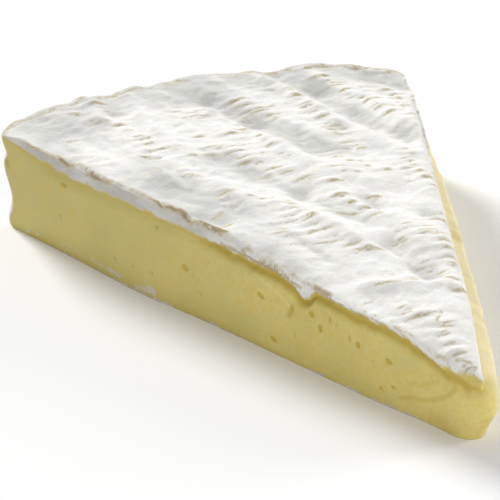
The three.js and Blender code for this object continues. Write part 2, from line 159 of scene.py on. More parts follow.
# Long soft folds of the rind: x and y of both ends, half width, and height (below zero for a valley).
FOLDS = (
    (-13, 180, -8, 168, 6.5, -0.9), (-28, 186, -33, 165, 4.6, -0.9), (-56, 180, -54, 166, 10.0, 1.0),
    (-58, 172, -48, 140, 6.0, -0.5), (24, 186, 33, 160, 4.4, -1.2), (33, 160, 43, 117, 4.5, -1.1),
    (-2, 162, 5, 144, 4.2, -1.0), (5, 144, 14, 122, 5.0, -0.8), (-22, 133, -14, 122, 4.6, -0.3),
    (-14, 122, -2, 96, 4.2, -1.0), (-2, 96, 6, 73, 3.6, -0.9), (6, 60, 9, 44, 3.6, -1.3),
    (14, 118, 22, 116, 5.0, -0.7), (13, 86, 14, 82, 3.0, -1.3), (24, 88, 25, 72, 4.6, -0.9),
    (-33, 108, -22, 92, 6.5, -0.6), (-33, 92, -31, 88, 3.0, -0.7), (-24, 66, -18, 50, 4.0, -0.6),
    (-12, 40, -4, 18, 4.0, -0.5), (57, 164, 62, 154, 5.4, -0.9), (-38, 182, -38, 160, 2.8, 0.7),
    (-25, 174, -26, 126, 2.8, 0.7), (-19, 182, -4, 156, 2.4, 0.6), (-4, 156, 7, 112, 2.2, 0.6),
    (21, 172, 28, 134, 2.6, 0.9), (-47, 150, -38, 118, 3.6, 0.6), (-24, 108, -15, 84, 3.0, 0.6),
    (-13, 92, 4, 52, 2.6, 0.8), (10, 104, 20, 92, 3.0, 0.5), (-10, 44, 10, 38, 2.4, 0.6),
    (47, 156, 46, 126, 3.2, 0.6), (50, 180, 66, 172, 5.5, 0.7), (-71, 169, -67, 174, 4.0, -0.7),
)
FOLD_GAIN = 1.6
FOLD_LUMP = 0.45
FOLD_WOBBLE = 0.22
FOLD_SPREAD = 1.15

# Puffs of mould over the whole rind, lower near the rim.
PUFF_H = 0.9
PUFF_WIDTH = 9.0
PUFF_LENGTH = 26.0
PUFF_CREASE = 0.12
PUFF_WANDER = 2.4
PUFF_LEAN = 0.3
PUFF_MEAN = 0.33
PUFF_LOWER = (0.65, 158, 180)
SMALL_PUFF_H = 0.3
SMALL_PUFF_WIDTH = 5.5
SMALL_PUFF_CREASE = 0.15

# Fine roughness of the rind. A layer of noise has a height, a size in x, a size in y and a seed.
ROUGH_LAYERS = ((0.2, 3.4, 2.8, 3), (0.12, 1.5, 1.3, 4))

# Low scalloped ribs across the rind. Shares of a rib's pitch run from its front edge.
RIB_H = 0.36
RIB_PITCH = 3.9
RIB_LEAN = -0.1
RIB_WANDER = ((0.22, 8.0, 11.0, 51), (0.06, 2.6, 4.0, 52))
RIB_BY_LADDER = 0.75
RIB_BY_PATCH = 0.45
RIB_SHOWS = (0.25, 0.95)
RIB_RISE_END = 0.3
RIB_TAN_SHOWS = (0.15, 0.95)
RIB_TAN_FADES = (0.08, 0.26)
RIB_TAN = 0.62
RIB_TAN_BY_LADDER = 0.9
RIBS_INSIDE_EDGE = (0.2, 1.6)

# Ladders of short tan streaks across the rind: ends, number of streaks, their half length.
LADDERS = (
    (5, 160, 12, 146, 4, 2.6), (24, 160, 26, 116, 9, 2.2), (-16, 160, -8, 151, 3, 2.4),
    (-14, 141, 2, 139, 2, 2.8), (-14, 133, -14, 131, 1, 3.2), (-9, 126, -2, 108, 5, 2.0),
    (1, 131, 2, 119, 3, 1.2), (1, 104, 9, 97, 2, 2.6), (40, 168, 46, 133, 7, 2.0),
    (54, 151, 51, 122, 5, 2.2), (-9, 90, -8, 79, 4, 2.2), (-20, 75, -8, 72, 2, 2.6),
    (-9, 66, -2, 57, 3, 3.0), (6, 90, 11, 76, 4, 1.8), (14, 68, 25, 67, 2, 2.6),
    (20, 60, 17, 46, 5, 2.0), (10, 48, 12, 34, 4, 1.8), (-6, 42, 3, 42, 2, 3.0),
    (-5, 33, 0, 22, 3, 2.0), (-1, 20, -2, 8, 4, 1.5), (-46, 176, -40, 159, 3, 2.2),
    (-35, 156, -30, 136, 5, 2.0), (-52, 152, -54, 140, 2, 1.6), (-36, 133, -23, 128, 2, 2.0),
    (16, 112, 26, 100, 4, 1.4), (36, 109, 34, 86, 6, 1.6), (-24, 102, -29, 92, 2, 2.2),
    (-36, 172, -34, 166, 2, 2.0), (0, 184, 30, 180, 4, 2.0), (-52, 180, -20, 186, 3, 1.8),
    (36, 178, 62, 166, 4, 1.6), (12, 180, 12, 180, 1, 3.4), (4, 154, 1.5, 145, 3, 2.0),
    (18.4, 162, 18.4, 162, 1, 1.6), (-6, 138, -6, 138, 1, 4.6), (-17, 127, -17, 127, 1, 2.4),
    (-10.4, 118.5, -6.7, 109.4, 2, 2.3), (13.3, 104, 16, 99, 2, 1.8), (30.7, 98.5, 30.7, 98.5, 1, 2.4),
    (15, 87.3, 15, 87.3, 1, 2.4), (3.2, 81, 3.2, 81, 1, 2.6), (-13.2, 82.4, -13.2, 82.4, 1, 2.0),
    (10.5, 61, 18.5, 63, 2, 3.2), (19.7, 108.4, 19.7, 108.4, 1, 1.8), (-28, 118, -36, 122, 2, 1.8),
    (-18, 98, -10, 92, 2, 2.0),
)
LADDER_REACH = 1.4
LADDER_ROW = 2.5

# Draws for each streak.
STREAK_SEED = 7
STREAK_OFF_X = (-1.2, 1.2)
STREAK_OFF_Y = (-0.7, 0.7)
STREAK_LONGER = (0.9, 1.7)
STREAK_BOW = (0.0, 0.22)
STREAK_WIDTH = (0.42, 0.74)
STREAK_SLANT = (-0.28, 0.02)

# Across each streak: its tan, a dip, and the crest behind it, as strength or height, place, half width.
STREAK_TAN = (0.86, -0.1)
STREAK_DIP = (0.02, -0.3, 0.6)
STREAK_CREST = (0.24, 1.1, 1.0)
STREAK_CREST_LONGER = 1.5
STREAK_REACH = 3.2
STREAK_REACH_Y = 5.0

# Grey of the rind, from painted shade and thinner mould: painted shade in the valleys, near the rim and
# beside the left cut, and thinner, greyer mould in long streaks and clouds. Strengths, each with the span
# over which it rises.
THIN_BASE = 0.12
THIN_MOST = 1.15
VALLEY_PAINTED_SHADE = (0.6, 0.1, 1.7)
RIM_PAINTED_SHADE = (0.62, 140, 182)
LEFT_PAINTED_SHADE = (0.62, 50, 100)
LEFT_PAINTED_SHADE_LESS = (0.6, 120, 160)
LEFT_PAINTED_SHADE_WIDTH = 20.0
THIN_STREAKS = ((0.3, 5.0, 30.0, 91), (0.18, 2.4, 16.0, 92))
THIN_CLOUDS = ((0.25, 16.0, 22.0, 93),)
THIN_ON_CUT = 0.3
# On the rim's side the grey is painted shade, which keeps the side that faces the key darker, and its own
# greyer mould.
RIM_SIDE_GREY_AND_SHADE = 1.35
RIM_CLOUDS = ((0.3, 40, 8.0, 94), (0.2, 90, 2.5, 95))

# Tan marks of the top, in the tear of its left edge and near the tip: x and y of both ends, half
# width, strength.
TOP_MARKS = (
    (-36.5, 88.0, -33.2, 83.8, 1.2, 1.1), (-34.2, 84.8, -29.0, 85.4, 0.8, 1.0),
    (-34.2, 84.2, -32.3, 81.2, 1.3, 1.3), (-20.8, 51.2, -18.8, 46.0, 0.8, 1.0),
    (-14.5, 38.2, -11.0, 38.6, 0.5, 0.6), (-8.5, 30.9, -4.2, 30.3, 0.6, 0.8),
    (-0.6, 24.5, 2.2, 27.2, 0.6, 0.8), (-3.2, 19.6, -0.4, 19.4, 0.6, 0.7),
    (-2.6, 15.6, -0.2, 15.4, 0.6, 0.7), (-2.8, 10.6, -0.4, 8.6, 0.7, 0.9),
    (-0.8, 6.2, 0.2, 7.2, 0.5, 0.8),
)

# Near the tip, the rind stops this far short of the paste's left edge.
TIP_SHORT = 1.1
TIP_SHORT_END = 14
TIP_SHORT_FADES = (3, 11)
TIP_LONG = (0.6, 6, 14)
TIP_SHORT_ON_CUT = (2.2, 20, 3)
TIP_FRONT = 3

# Tan along the rim edge of the top, and broken tan where the rind rolls over the cuts.
RIM_EDGE_TAN = 0.9
RIM_EDGE_WIDTH = 1.8
TEAR_AT = 74
TEAR_SPREAD = 14
ROLL_TAN = (0.75, 1.0)
ROLL_TAN_WIDTH = (0.9, 1.7)
ROLL_TAN_SHOWS = (0.0, -0.4)
ROLL_TAN_STARTS = (4, 12)
ROLL_TAN_LEFT_ENDS = (78, 92)

# The crack that follows the left cut edge: strength, how far onto the top its middle lies, its half width.
CRACK_TAN = 1.1
CRACK_IN = 0.2
CRACK_WANDER = ((0.8, 5.0, 71), (0.22, 1.6, 72))
CRACK_HALF = 0.95
CRACK_HALF_WANDER = ((0.3, 6.0, 73),)
CRACK_STARTS = (90, 100)
CRACK_FADES = (0.6, 160, 172)
CRACK_REACH = 6

# Small holes of the left cut face: distance from the tip edge, height, half width, half height, slant.
EYES = (
    (150.3, 23.5, 1.3, 0.9, 0.08), (152.5, 12.9, 0.8, 0.6, 0.2), (129.3, 7.1, 0.8, 0.6, 0.04),
    (121.2, 7.7, 0.7, 0.6, 0), (113.4, 8.3, 0.8, 0.7, 0.04), (111.6, 22.9, 0.8, 0.7, 0.04),
    (100.5, 14.4, 1.4, 1.1, 0.08), (97.8, 13.2, 0.9, 0.6, 0.16), (95.2, 8.6, 0.7, 0.6, 0),
    (80.1, 11.8, 0.5, 0.6, 0), (72.5, 16.1, 1.4, 0.8, 0.24), (61.5, 15.8, 0.6, 1.2, 0),
    (55.2, 17.3, 1.0, 1.2, 0), (51.9, 14.2, 0.8, 1.2, 0.2), (48.7, 17.8, 0.5, 1.2, 0),
    (46.4, 17.5, 0.5, 0.6, 0), (60.4, 9.1, 0.5, 0.6, 0), (68.4, 4.4, 1.2, 0.8, 0.12),
    (42, 15.2, 0.5, 1.2, 0), (39.1, 14.4, 0.8, 1.1, 0.12), (34.1, 11.5, 0.5, 0.7, 0),
    (28.8, 13.6, 1.2, 0.8, 0.12), (31.5, 4.7, 0.8, 0.7, 0), (27.5, 6.4, 0.9, 0.7, 0.08),
)
EYE_DEPTH = 0.4
EYE_BLUNT = 1.3
EYE_FLANK = 1.5
EYE_ROUGH = 0.22
EYE_ROUGH_SCALE = 1.7

# Draws for the holes of the right cut face, in the order of EYES. Near the tip only low ones are kept.
GUESSED_EYE_SEED = 11
GUESSED_EYES = 26
GUESSED_EYE_DRAWS = ((14, 160), (4, 20), (0.5, 1.3), (0.4, 0.9), (0, 0.5))
GUESSED_EYE_FROM = 75
GUESSED_EYE_LOW = 8

# Height where the rind ends on the cut faces: distance from the tip, height.
RIND_FLOOR = (
    (4, 17.0), (10, 17.4), (24, 21.7), (31, 22.5), (60, 23.2), (80, 25.2), (110, 26.3), (148, 26.7),
    (166, 28.7), (176, 29.5),
)
# Its tongue, torn notch and what follows on the left cut: rise (below zero hangs lower), t, half width.
RIND_TONGUE = ((-2.6, -58.4, 3.0), (2.9, -52.2, 2.6), (0.9, -48, 3.0))
BAND_LIMITS = (0.35, 5.6)

# Marks on the left cut face: kind, both ends (distance from the tip, height), half width, strength.
MARKS = (
    ("tan", 98.0, 29.2, 87.5, 28.5, 0.45, 1.0), ("tan", 87.5, 28.5, 84.5, 27.9, 0.5, 1.0),
    ("tan", 87.0, 25.9, 80.0, 25.5, 0.8, 0.9), ("tan", 80.0, 25.5, 66.0, 24.2, 1.1, 1.0),
    ("tan", 66.0, 24.2, 60.0, 23.4, 1.1, 0.9), ("tan", 53.5, 24.0, 48.5, 23.2, 0.9, 1.0),
    ("ochre_and_shade", 174.4, 23.4, 172.8, 21.6, 1.2, 1.0), ("mould", 169.0, 1.4, 160.0, 2.0, 0.6, 0.5),
    ("mould", 152.0, 3.9, 145.5, 2.9, 0.6, 0.5), ("mould", 139.5, 2.9, 135.0, 2.1, 0.8, 0.65),
    ("mould", 132.5, 2.6, 127.5, 2.0, 0.9, 0.7), ("mould", 119.5, 1.6, 113.5, 2.6, 1.3, 0.85),
    ("mould", 88.0, 0.9, 78.0, 1.1, 0.6, 0.55), ("mould", 174.2, 6.8, 173.8, 5.8, 0.8, 0.7),
    # Painted shade: the marks at 24.7, 16.1 and 22.5 from the tip draw the nose's creases, and those at
    # 61.6 a Y-shaped dent.
    ("ochre_and_shade", 24.7, 4.6, 16.1, 8.2, 1.0, 0.55), ("ochre_and_shade", 16.1, 8.2, 7.6, 13.9, 1.1, 0.6),
    ("ochre_and_shade", 22.5, 9.4, 14.1, 14.5, 0.9, 0.45), ("ochre_and_shade", 61.6, 17.0, 62.4, 13.8, 0.9, 0.9),
    # Painted highlight: these marks draw the pale lit edge of the paste's lip below the groove.
    ("ochre_and_shade", 61.6, 17.0, 57.5, 19.0, 0.6, 0.6), ("lip_highlight", 84.0, 23.4, 74.0, 21.6, 1.0, 0.45),
    ("lip_highlight", 74.0, 21.6, 66.0, 19.0, 1.0, 0.5), ("lip_highlight", 66.0, 19.0, 62.6, 16.9, 0.9, 0.55),
)

# Relief and stains of the rim's side and of the cuts, as layers of noise: see layered_rim and layered.
RIM_LUMPS = ((0.5, 21, 9, 8), (0.28, 60, 2.8, 9), (0.14, 110, 1.2, 10))
RIM_STREAKS = ((1.0, 26, 1.7, 79), (0.5, 60, 0.9, 80))
RIM_FINE_STREAKS = ((1.0, 75, 1.2, 82), (0.5, 150, 0.7, 83))
PASTE_ROUGH = ((0.16, 9, 6, 42), (0.07, 2.4, 2.0, 43))
PASTE_ROUGH_STARTS = (0, 2)
PATCH_LAYERS = ((1.0, 8.0, 6.0, 87), (0.4, 2.6, 2.4, 88))
PATCH_OCHRE = 0.55
FRINGE_TAN = 0.85
BAND_TAN = 0.8

# How the cuts' outline widens from the rind's tip to the paste's, by the distance below the rind's end.
TIP_WIDENS = (0, 1.6)
TIP_SHIFT_FADES = (-0.2, 1.8)

# Places this near the tip keep their distance from it.
FREE_TIP = 20
RIM_SKIN = 0.12
TINY = 1e-6

# Fineness of the mesh.
TOP_ROWS = 300
ROW_POWER = 1.1
BAND_ROWS = 7
GROOVE_ROWS = 7
FACE_ROWS = 44
WALL_ROWS = BAND_ROWS + GROOVE_ROWS + FACE_ROWS
GROOVE_SPAN = 3.4
BASE_STEP = 4.0
BASE_FROM = 14.0
BASE_HALF = 90.0
BASE_ROW_STEP = 0.87


def mix(a, b, t):
    return a + (b - a) * t


def smooth(start, stop, x):
    """0 up to start, 1 from stop on, and an even curve between."""
    t = np.clip((np.asarray(x, float) - start) / (stop - start), 0.0, 1.0)
    return t * t * (3.0 - 2.0 * t)


def rise(x, gain, start, stop):
    return gain * smooth(start, stop, x)


def bell(x, middle, width):
    return np.exp(-(((x - middle) / width) ** 2))


def hill(x, height, middle, width):
    return height * bell(x, middle, width)


def blunt(x):
    """A bell round 0 with a flatter top."""
    return np.exp(-np.abs(x) ** 3)


def scatter(i, j, seed):
    """A fixed number from 0 to 1 for each pair of whole numbers."""
    s = np.sin(i * 127.1 + j * 311.7 + seed * 74.7) * 43758.5453
    return s - np.floor(s)


def noise(x, y, seed):
    """Smooth random height from -1 to 1, with a pattern of its own for each seed."""
    i = np.floor(x)
    j = np.floor(y)
    u = smooth(0, 1, x - i)
    v = smooth(0, 1, y - j)
    near = mix(scatter(i, j, seed), scatter(i + 1, j, seed), u)
    far = mix(scatter(i, j + 1, seed), scatter(i + 1, j + 1, seed), u)
    return 2.0 * mix(near, far, v) - 1.0


def layered(layers, x, y):
    """Sum of noise layers: height, size in x, size in y, seed."""
    return sum(height * noise(x / wide, y / tall, seed) for height, wide, tall, seed in layers)


def layered_line(layers, t):
    """Sum of noise layers along a line: height, size, seed."""
    return sum(height * noise(t / size, 0 * t, seed) for height, size, seed in layers)


def layered_rim(layers, angle, z):
    """Sum of noise layers round the rim: height, steps per radian, size in z, seed."""
    return sum(height * noise(angle * steps, z / tall, seed) for height, steps, tall, seed in layers)


def rim_radius(angle):
    power = np.where(angle < 0, LEFT_CORNER_POWER, RIGHT_CORNER_POWER)
    return RIM_R - CORNER_IN * (np.abs(angle) / HALF_ANGLE) ** power


def near_corner(angle):
    return smooth(CORNER_FROM, 1, np.abs(angle) / HALF_ANGLE)


def near_left_corner(angle, start=LEFT_CORNER_FROM):
    return smooth(start, 1, -angle / HALF_ANGLE)


def shoulder(angle, size):
    return mix(size, SHARP_SHOULDER, near_corner(angle))


def foot_radius(angle):
    """Rounding of the rim's foot, which is crisper at the left corner."""
    return mix(FOOT_R, LEFT_FOOT_R, near_left_corner(angle))


def lip_reach(angle):
    return LIP_OUT * near_left_corner(angle)


def top_edge_radius(angle):
    return rim_radius(angle) + lip_reach(angle) - shoulder(angle, SHOULDER_IN)


# Length of the right cut along the top.
EDGE_LENGTH = float(top_edge_radius(np.array(HALF_ANGLE)))


def from_segment(x, y, ends):
    """X and Y from the nearest point of a segment, whose two ends may be one point."""
    x0, y0, x1, y1 = ends
    dx, dy = x1 - x0, y1 - y0
    along = np.clip(((x - x0) * dx + (y - y0) * dy) / max(dx * dx + dy * dy, 1.0), 0, 1)
    return x - x0 - along * dx, y - y0 - along * dy


def fold_height(x, y):
    """Height that the long folds add, below zero in a valley."""
    total = np.zeros_like(x)
    for *ends, half, height in FOLDS:
        gap_x, gap_y = from_segment(x, y, ends)
        wobble = FOLD_WOBBLE * half * noise(x / 5.0 + ends[0], y / 6.0 + ends[1], 21)
        lump = 1 + FOLD_LUMP * noise(x / 7.0 + half, y / 10.0, 22)
        gap = np.hypot(gap_x + wobble, gap_y)
        total += FOLD_GAIN * height * lump * bell(gap, 0, FOLD_SPREAD * half)
    return total


def ladder_streaks():
    """Middle, half length, half width, slant and bow of each streak."""
    rng = np.random.default_rng(STREAK_SEED)
    out = []
    for x0, y0, x1, y1, count, half in LADDERS:
        for n in range(count):
            t = 0.5 if count == 1 else n / (count - 1)
            px = mix(x0, x1, t) + rng.uniform(*STREAK_OFF_X)
            py = mix(y0, y1, t) + rng.uniform(*STREAK_OFF_Y)
            length = half * rng.uniform(*STREAK_LONGER)
            bow = rng.uniform(*STREAK_BOW)
            width = rng.uniform(*STREAK_WIDTH)
            slant = rng.uniform(*STREAK_SLANT)
            out.append((px, py, length, width, slant, bow))
    return out


STREAKS = ladder_streaks()


def ladder_share(x, y):
    """How near each point lies to a ladder of streaks, from 0 to 1."""
    share = np.zeros_like(x)
    for *ends, _, half in LADDERS:
        gap_x, gap_y = from_segment(x, y, ends)
        gap = np.hypot(gap_x / (LADDER_REACH * half), gap_y / LADDER_ROW)
        share = np.maximum(share, bell(gap, 0, 1))
    return share


def rib_field(x, y):
    """Height of the scalloped ribs and how tan their front edges are."""
    phase = (y - RIB_LEAN * x) / RIB_PITCH + layered(RIB_WANDER, x, y)
    row = np.floor(phase)
    f = phase - row
    near = ladder_share(x, y)
    patch = smooth(-0.35, 0.45, noise(x / 17.0 + 3.0, y / 21.0, 53))
    here = noise(x / 5.5 + row * 17.3, row * 3.1, 54) + RIB_BY_LADDER * near + RIB_BY_PATCH * patch
    shape = smooth(0, RIB_RISE_END, f) * (1 - smooth(RIB_RISE_END, 1, f))
    height = RIB_H * mix(0.55, 1.0, near) * smooth(*RIB_SHOWS, here) * shape
    stain = noise(x / 2.1 + row * 5.7, row * 7.3, 55)
    tan = smooth(*RIB_TAN_SHOWS, here) * smooth(-0.35, 0.35, stain)
    tan = tan * (1 - smooth(*RIB_TAN_FADES, f)) * mix(RIB_TAN, RIB_TAN_BY_LADDER, near)
    return height, tan


def puff_height(x, y):
    """Soft puffs with narrow creases between them."""
    wx = x + PUFF_WANDER * noise(x / PUFF_WIDTH, y / PUFF_WIDTH, 61) + PUFF_LEAN * y
    wy = y + PUFF_WANDER * noise(x / PUFF_WIDTH, y / PUFF_WIDTH, 62) - PUFF_LEAN * x
    large = np.hypot(noise(wx / PUFF_WIDTH, wy / PUFF_LENGTH, 63), PUFF_CREASE)
    small = noise(wy / (1.3 * SMALL_PUFF_WIDTH), wx / SMALL_PUFF_WIDTH, 64)
    return PUFF_H * large + SMALL_PUFF_H * np.hypot(small, SMALL_PUFF_CREASE)


def edge_distance(x, y):
    """Distance from the nearer cut face, at its own side of the wedge."""
    away = np.clip(HALF_ANGLE - np.abs(np.arctan2(x, y)), 0, None)
    return np.hypot(x, y) * np.sin(away)


def thin_mould_and_shade(x, y):
    """Grey of the rind: painted shade in valleys, near the rim and beside the left cut, and thinner mould
    in long streaks.
    """
    r = np.hypot(x, y)
    # Painted shade: grey beside the left cut, in the valleys and towards the rim; the noise layers are
    # thinner mould.
    left = rise(r, *LEFT_PAINTED_SHADE) * bell(edge_distance(x, y), 0, LEFT_PAINTED_SHADE_WIDTH) * (x < 0)
    total = THIN_BASE + rise(-fold_height(x, y), *VALLEY_PAINTED_SHADE) + rise(r, *RIM_PAINTED_SHADE)
    total = total + left * (1 - rise(r, *LEFT_PAINTED_SHADE_LESS))
    total = total + layered(THIN_STREAKS, x + PUFF_LEAN * y, y) + layered(THIN_CLOUDS, x, y)
    return np.clip(total, 0, THIN_MOST)


def streak_mask(x, y):
    """How much of each point lies on a tan streak, and the height that the streaks add."""
    tan = np.zeros_like(x)
    relief = np.zeros_like(x)
    for px, py, length, width, slant, bow in STREAKS:
        near = (np.abs(x - px) < STREAK_REACH * length) & (np.abs(y - py) < STREAK_REACH_Y)
        pick = np.flatnonzero(near)
        if not len(pick):
            continue
        u = (x[pick] - px) / length
        v = y[pick] - py - slant * (x[pick] - px) + bow * length * u * u * 0.5
        tan[pick] = np.maximum(tan[pick], blunt(u) * hill(v, *STREAK_TAN, width))
        crest = blunt(u / STREAK_CREST_LONGER) * hill(v, *STREAK_CREST)
        relief[pick] = np.maximum(relief[pick], crest) - blunt(u) * hill(v, *STREAK_DIP)
    return tan, relief


def plain_height(x, y):
    """Height of the top before its cut edges roll down."""
    r = np.hypot(x, y)
    across = np.arctan2(x, y) / HALF_ANGLE
    h = CROWN_H - TIP_SAG * (1 - smooth(*TIP_SAG_ENDS, r))
    h = h - TIP_DROOP * np.exp(-r / TIP_DROOP_LENGTH) + TIP_PUFF * (1 - smooth(*TIP_PUFF_ENDS, r))
    h = h + DOME * (1 - across * across) * smooth(*DOME_STARTS, r)
    h = h - DISH * (1 - across ** 4) * smooth(*DISH_STARTS, r) * (1 - smooth(*DISH_ENDS, r))
    lumps = smooth(*LUMPS_START, r)
    h = h + RIDGE_H * lumps * noise(x / RIDGE_WIDTH, y / RIDGE_LENGTH, 1)
    h = h + RIPPLE_H * lumps * noise(x / RIPPLE_WIDTH, y / RIPPLE_LENGTH, 2)
    h = h + fold_height(x, y)
    puffs = lumps * (1 - rise(r, *PUFF_LOWER))
    return h + puffs * (puff_height(x, y) - PUFF_MEAN)


def rind_floor(r):
    """Height where the rind ends on the cut faces, without its notch and tongue."""
    known = np.array(RIND_FLOOR)
    return np.interp(r, known[:, 0], known[:, 1])


def crisp_share(x, r):
    """1 where the knife left a crisp rind edge, 0 where the rind rolls over it."""
    share = np.where(x < 0, smooth(*CRISP_LEFT, r), rise(r, *CRISP_RIGHT))
    return np.maximum(share, smooth(EDGE_LENGTH - CRISP_CORNER, EDGE_LENGTH, r))


def top_height(x, y):
    """Height of the top, with its cut edges rolled down to where the rind ends."""
    r = np.hypot(x, y)
    d = edge_distance(x, y)
    h = plain_height(x, y)
    side = np.where(x < 0, -1.0, 1.0)
    edge = plain_height(side * r * HALF_SIN, r * HALF_COS)
    crisp = crisp_share(x, r)
    goal = rind_floor(r) + mix(SOFT_BAND, CRISP_BAND, crisp)
    drop = np.clip(edge - goal, 0, ROLL_MAX) * smooth(*ROLL_FROM_TIP, r)
    span = np.minimum(mix(ROLL_SPAN, CRISP_SPAN, crisp), TIP_ROLL_LEAST + TIP_ROLL * r)
    near = np.clip(1 - d / span, 0, 1)
    h = h - drop * (1 - np.sqrt(1 - near * near))
    h = h + smooth(*RIBS_INSIDE_EDGE, d) * (streak_mask(x, y)[1] + rib_field(x, y)[0])
    wavy = CRISP_WAVE_H * crisp * bell(d, 0, CRISP_WAVE_IN) * noise(r / CRISP_WAVE_LENGTH, side, 5)
    return h + smooth(*ROUGH_STARTS, r) * (layered(ROUGH_LAYERS, x, y) + wavy)


def tip_turn(s, tip_r):
    """How far the outline of the rounded tip has turned at a distance s."""
    return np.clip(s * HALF_TAN / tip_r, 0, 1) * (math.pi / 2 - HALF_ANGLE)


def cut_outline(s, side, tip_r):
    """Rounded outline of the cut, seen from above, at a distance s from its tip."""
    turn = tip_turn(s, tip_r)
    middle = tip_r / HALF_SIN
    straight = s >= tip_r / HALF_TAN
    x = np.where(straight, side * s * HALF_SIN, side * tip_r * np.sin(turn))
    y = np.where(straight, s * HALF_COS, middle - tip_r * np.cos(turn))
    return x, y


def cut_normal(s, side):
    """Which way the paste of the cuts faces, in X and Y."""
    turn = tip_turn(s, PASTE_TIP_R)
    return side * np.sin(turn), -np.cos(turn)


def right_bow(t):
    """How far the whole right cut bows out near the rim."""
    fade = 1 - smooth(RIGHT_BOW_END, EDGE_LENGTH, t)
    return RIGHT_BOW * bell(t, RIGHT_BOW_AT, RIGHT_BOW_SPREAD) * fade


def rind_shift(s):
    """How far the rind's tip lies back from the paste's: X and Y."""
    fade = 1 - smooth(0, RIND_SHIFT_LENGTH, s)
    return RIND_SHIFT_X * fade, RIND_SHIFT_Y * fade


def paste_bulge(t):
    """How far the soft paste swells out of the cuts."""
    right = RIGHT_BULGE * smooth(*RIGHT_BULGE_STARTS, t) * (1 - smooth(*RIGHT_BULGE_ENDS, t))
    return LEFT_BULGE + NOSE_BULGE * bell(t, NOSE_SHIFT, NOSE_SPREAD) + right


def bulge_share(t, up):
    """Share of the bulge at a share of the height: less at the foot, and less again near the rind."""
    foot = mix(0.05, 0.51, smooth(-22, 6, t))
    slope = mix(0.15, 0.4, smooth(-2, 6, t) * (1 - smooth(20, 50, t)))
    return mix(foot, 1.0, smooth(0, 0.42, up)) - slope * smooth(0.45, 1, up)


def corner_tuck(z, edge_h):
    """How far the foot of the left corner lies back from the cut plane, for its height."""
    return CORNER_TUCK * (1 - z / edge_h) ** 2


def rim_profile(angle, down, edge_h):
    """Side of the rim at a share of its length, from the top edge (0) to the base (1)."""
    angle, down = np.broadcast_arrays(angle, down)
    drop = shoulder(angle, SHOULDER_DROP)
    side_top = edge_h - drop
    outer = rim_radius(angle) + lip_reach(angle)
    turn = np.clip(down / SHOULDER_SHARE, 0, 1) * math.pi / 2
    r_shoulder = outer - shoulder(angle, SHOULDER_IN) * (1 - np.sin(turn))
    z_shoulder = side_top + drop * np.cos(turn)
    mid = np.clip((down - SHOULDER_SHARE) / (FOOT_SHARE - SHOULDER_SHARE), 0, 1)
    r_side = rim_radius(angle) + lip_reach(angle) * (1 - smooth(0, LIP_FADE, mid))
    foot_r = foot_radius(angle)
    z_side = mix(side_top, foot_r, mid)
    low = np.clip((down - FOOT_SHARE) / (1 - FOOT_SHARE), 0, 1) * math.pi / 2
    r_foot = rim_radius(angle) - foot_r * (1 - np.cos(low))
    z_foot = foot_r * (1 - np.sin(low))
    r = np.where(down <= SHOULDER_SHARE, r_shoulder, np.where(down <= FOOT_SHARE, r_side, r_foot))
    z = np.where(down <= SHOULDER_SHARE, z_shoulder, np.where(down <= FOOT_SHARE, z_side, z_foot))
    left = near_left_corner(angle)
    wave = np.cos(2 * math.pi * (z - HOOP_CREST_Z + HOOP_SLANT * angle) / HOOP_PITCH)
    fade = smooth(*HOOP_STARTS, z) * smooth(*HOOP_ENDS, edge_h - z)
    r = r + mix(HOOP_WAVE_FAR, HOOP_WAVE, left) * wave * fade
    r = r - LIP_NOTCH * left * bell(z, edge_h - LIP_NOTCH_DOWN, LIP_NOTCH_SPREAD)
    r = r + LEFT_FOOT_OUT * left * bell(z, 0, LEFT_FOOT_SPREAD)
    r = r + layered_rim(RIM_LUMPS, angle, z) * fade * (1 - near_corner(angle))
    return r, z


def row_reach(k):
    """Distance from the tip of the top's row k."""
    return EDGE_LENGTH * (k / TOP_ROWS) ** ROW_POWER


def top_grid():
    """Plan places of the triangular grid of the top, row by row from the tip."""
    xs, ys = [], []
    left_share = float(top_edge_radius(np.array(-HALF_ANGLE))) / EDGE_LENGTH
    for k in range(TOP_ROWS + 1):
        s = row_reach(k)
        edge_x, edge_y = (float(v) for v in cut_outline(np.array(s), -1, RIND_TIP_R))
        shift_x, shift_y = rind_shift(s)
        if k == 0:
            xs.append(np.array([edge_x + shift_x]))
            ys.append(np.array([edge_y + shift_y]))
            continue
        across = 2.0 * np.arange(k + 1) / k - 1.0
        x = -edge_x * across
        sag = np.sqrt(s * s - (s * HALF_SIN * across) ** 2) - s * HALF_COS
        y = edge_y + sag
        angle = np.clip(np.arctan2(x, y), -HALF_ANGLE, HALF_ANGLE)
        reach = (k / TOP_ROWS) ** 2
        stretch = mix(1.0, top_edge_radius(angle) / EDGE_LENGTH, reach)
        stretch[0] = mix(1.0, left_share, reach)
        stretch[-1] = 1.0
        x, y = x * stretch, y * stretch
        if s > RIND_TIP_R / HALF_TAN:
            # Past the rounded tip, both ends of the row lie on the cuts.
            for end, side in ((0, -1), (-1, 1)):
                r = math.hypot(x[end], y[end])
                x[end] = side * r * HALF_SIN
                y[end] = r * HALF_COS
        bow = float(right_bow(s)) * ((across + 1) / 2) ** 3
        xs.append(x + shift_x + bow * HALF_COS)
        ys.append(y + shift_y - bow * HALF_SIN)
    return xs, ys


def mark_share(kind, t, z):
    """How strongly the marks of one kind show at a place of the left cut face."""
    share = np.zeros(np.broadcast(t, z).shape)
    for name, *ends, half, strength in MARKS:
        if name == kind:
            gap = np.hypot(*from_segment(-t, z, ends)) / half
            share = np.maximum(share, strength * bell(gap, 0, 1))
    return share


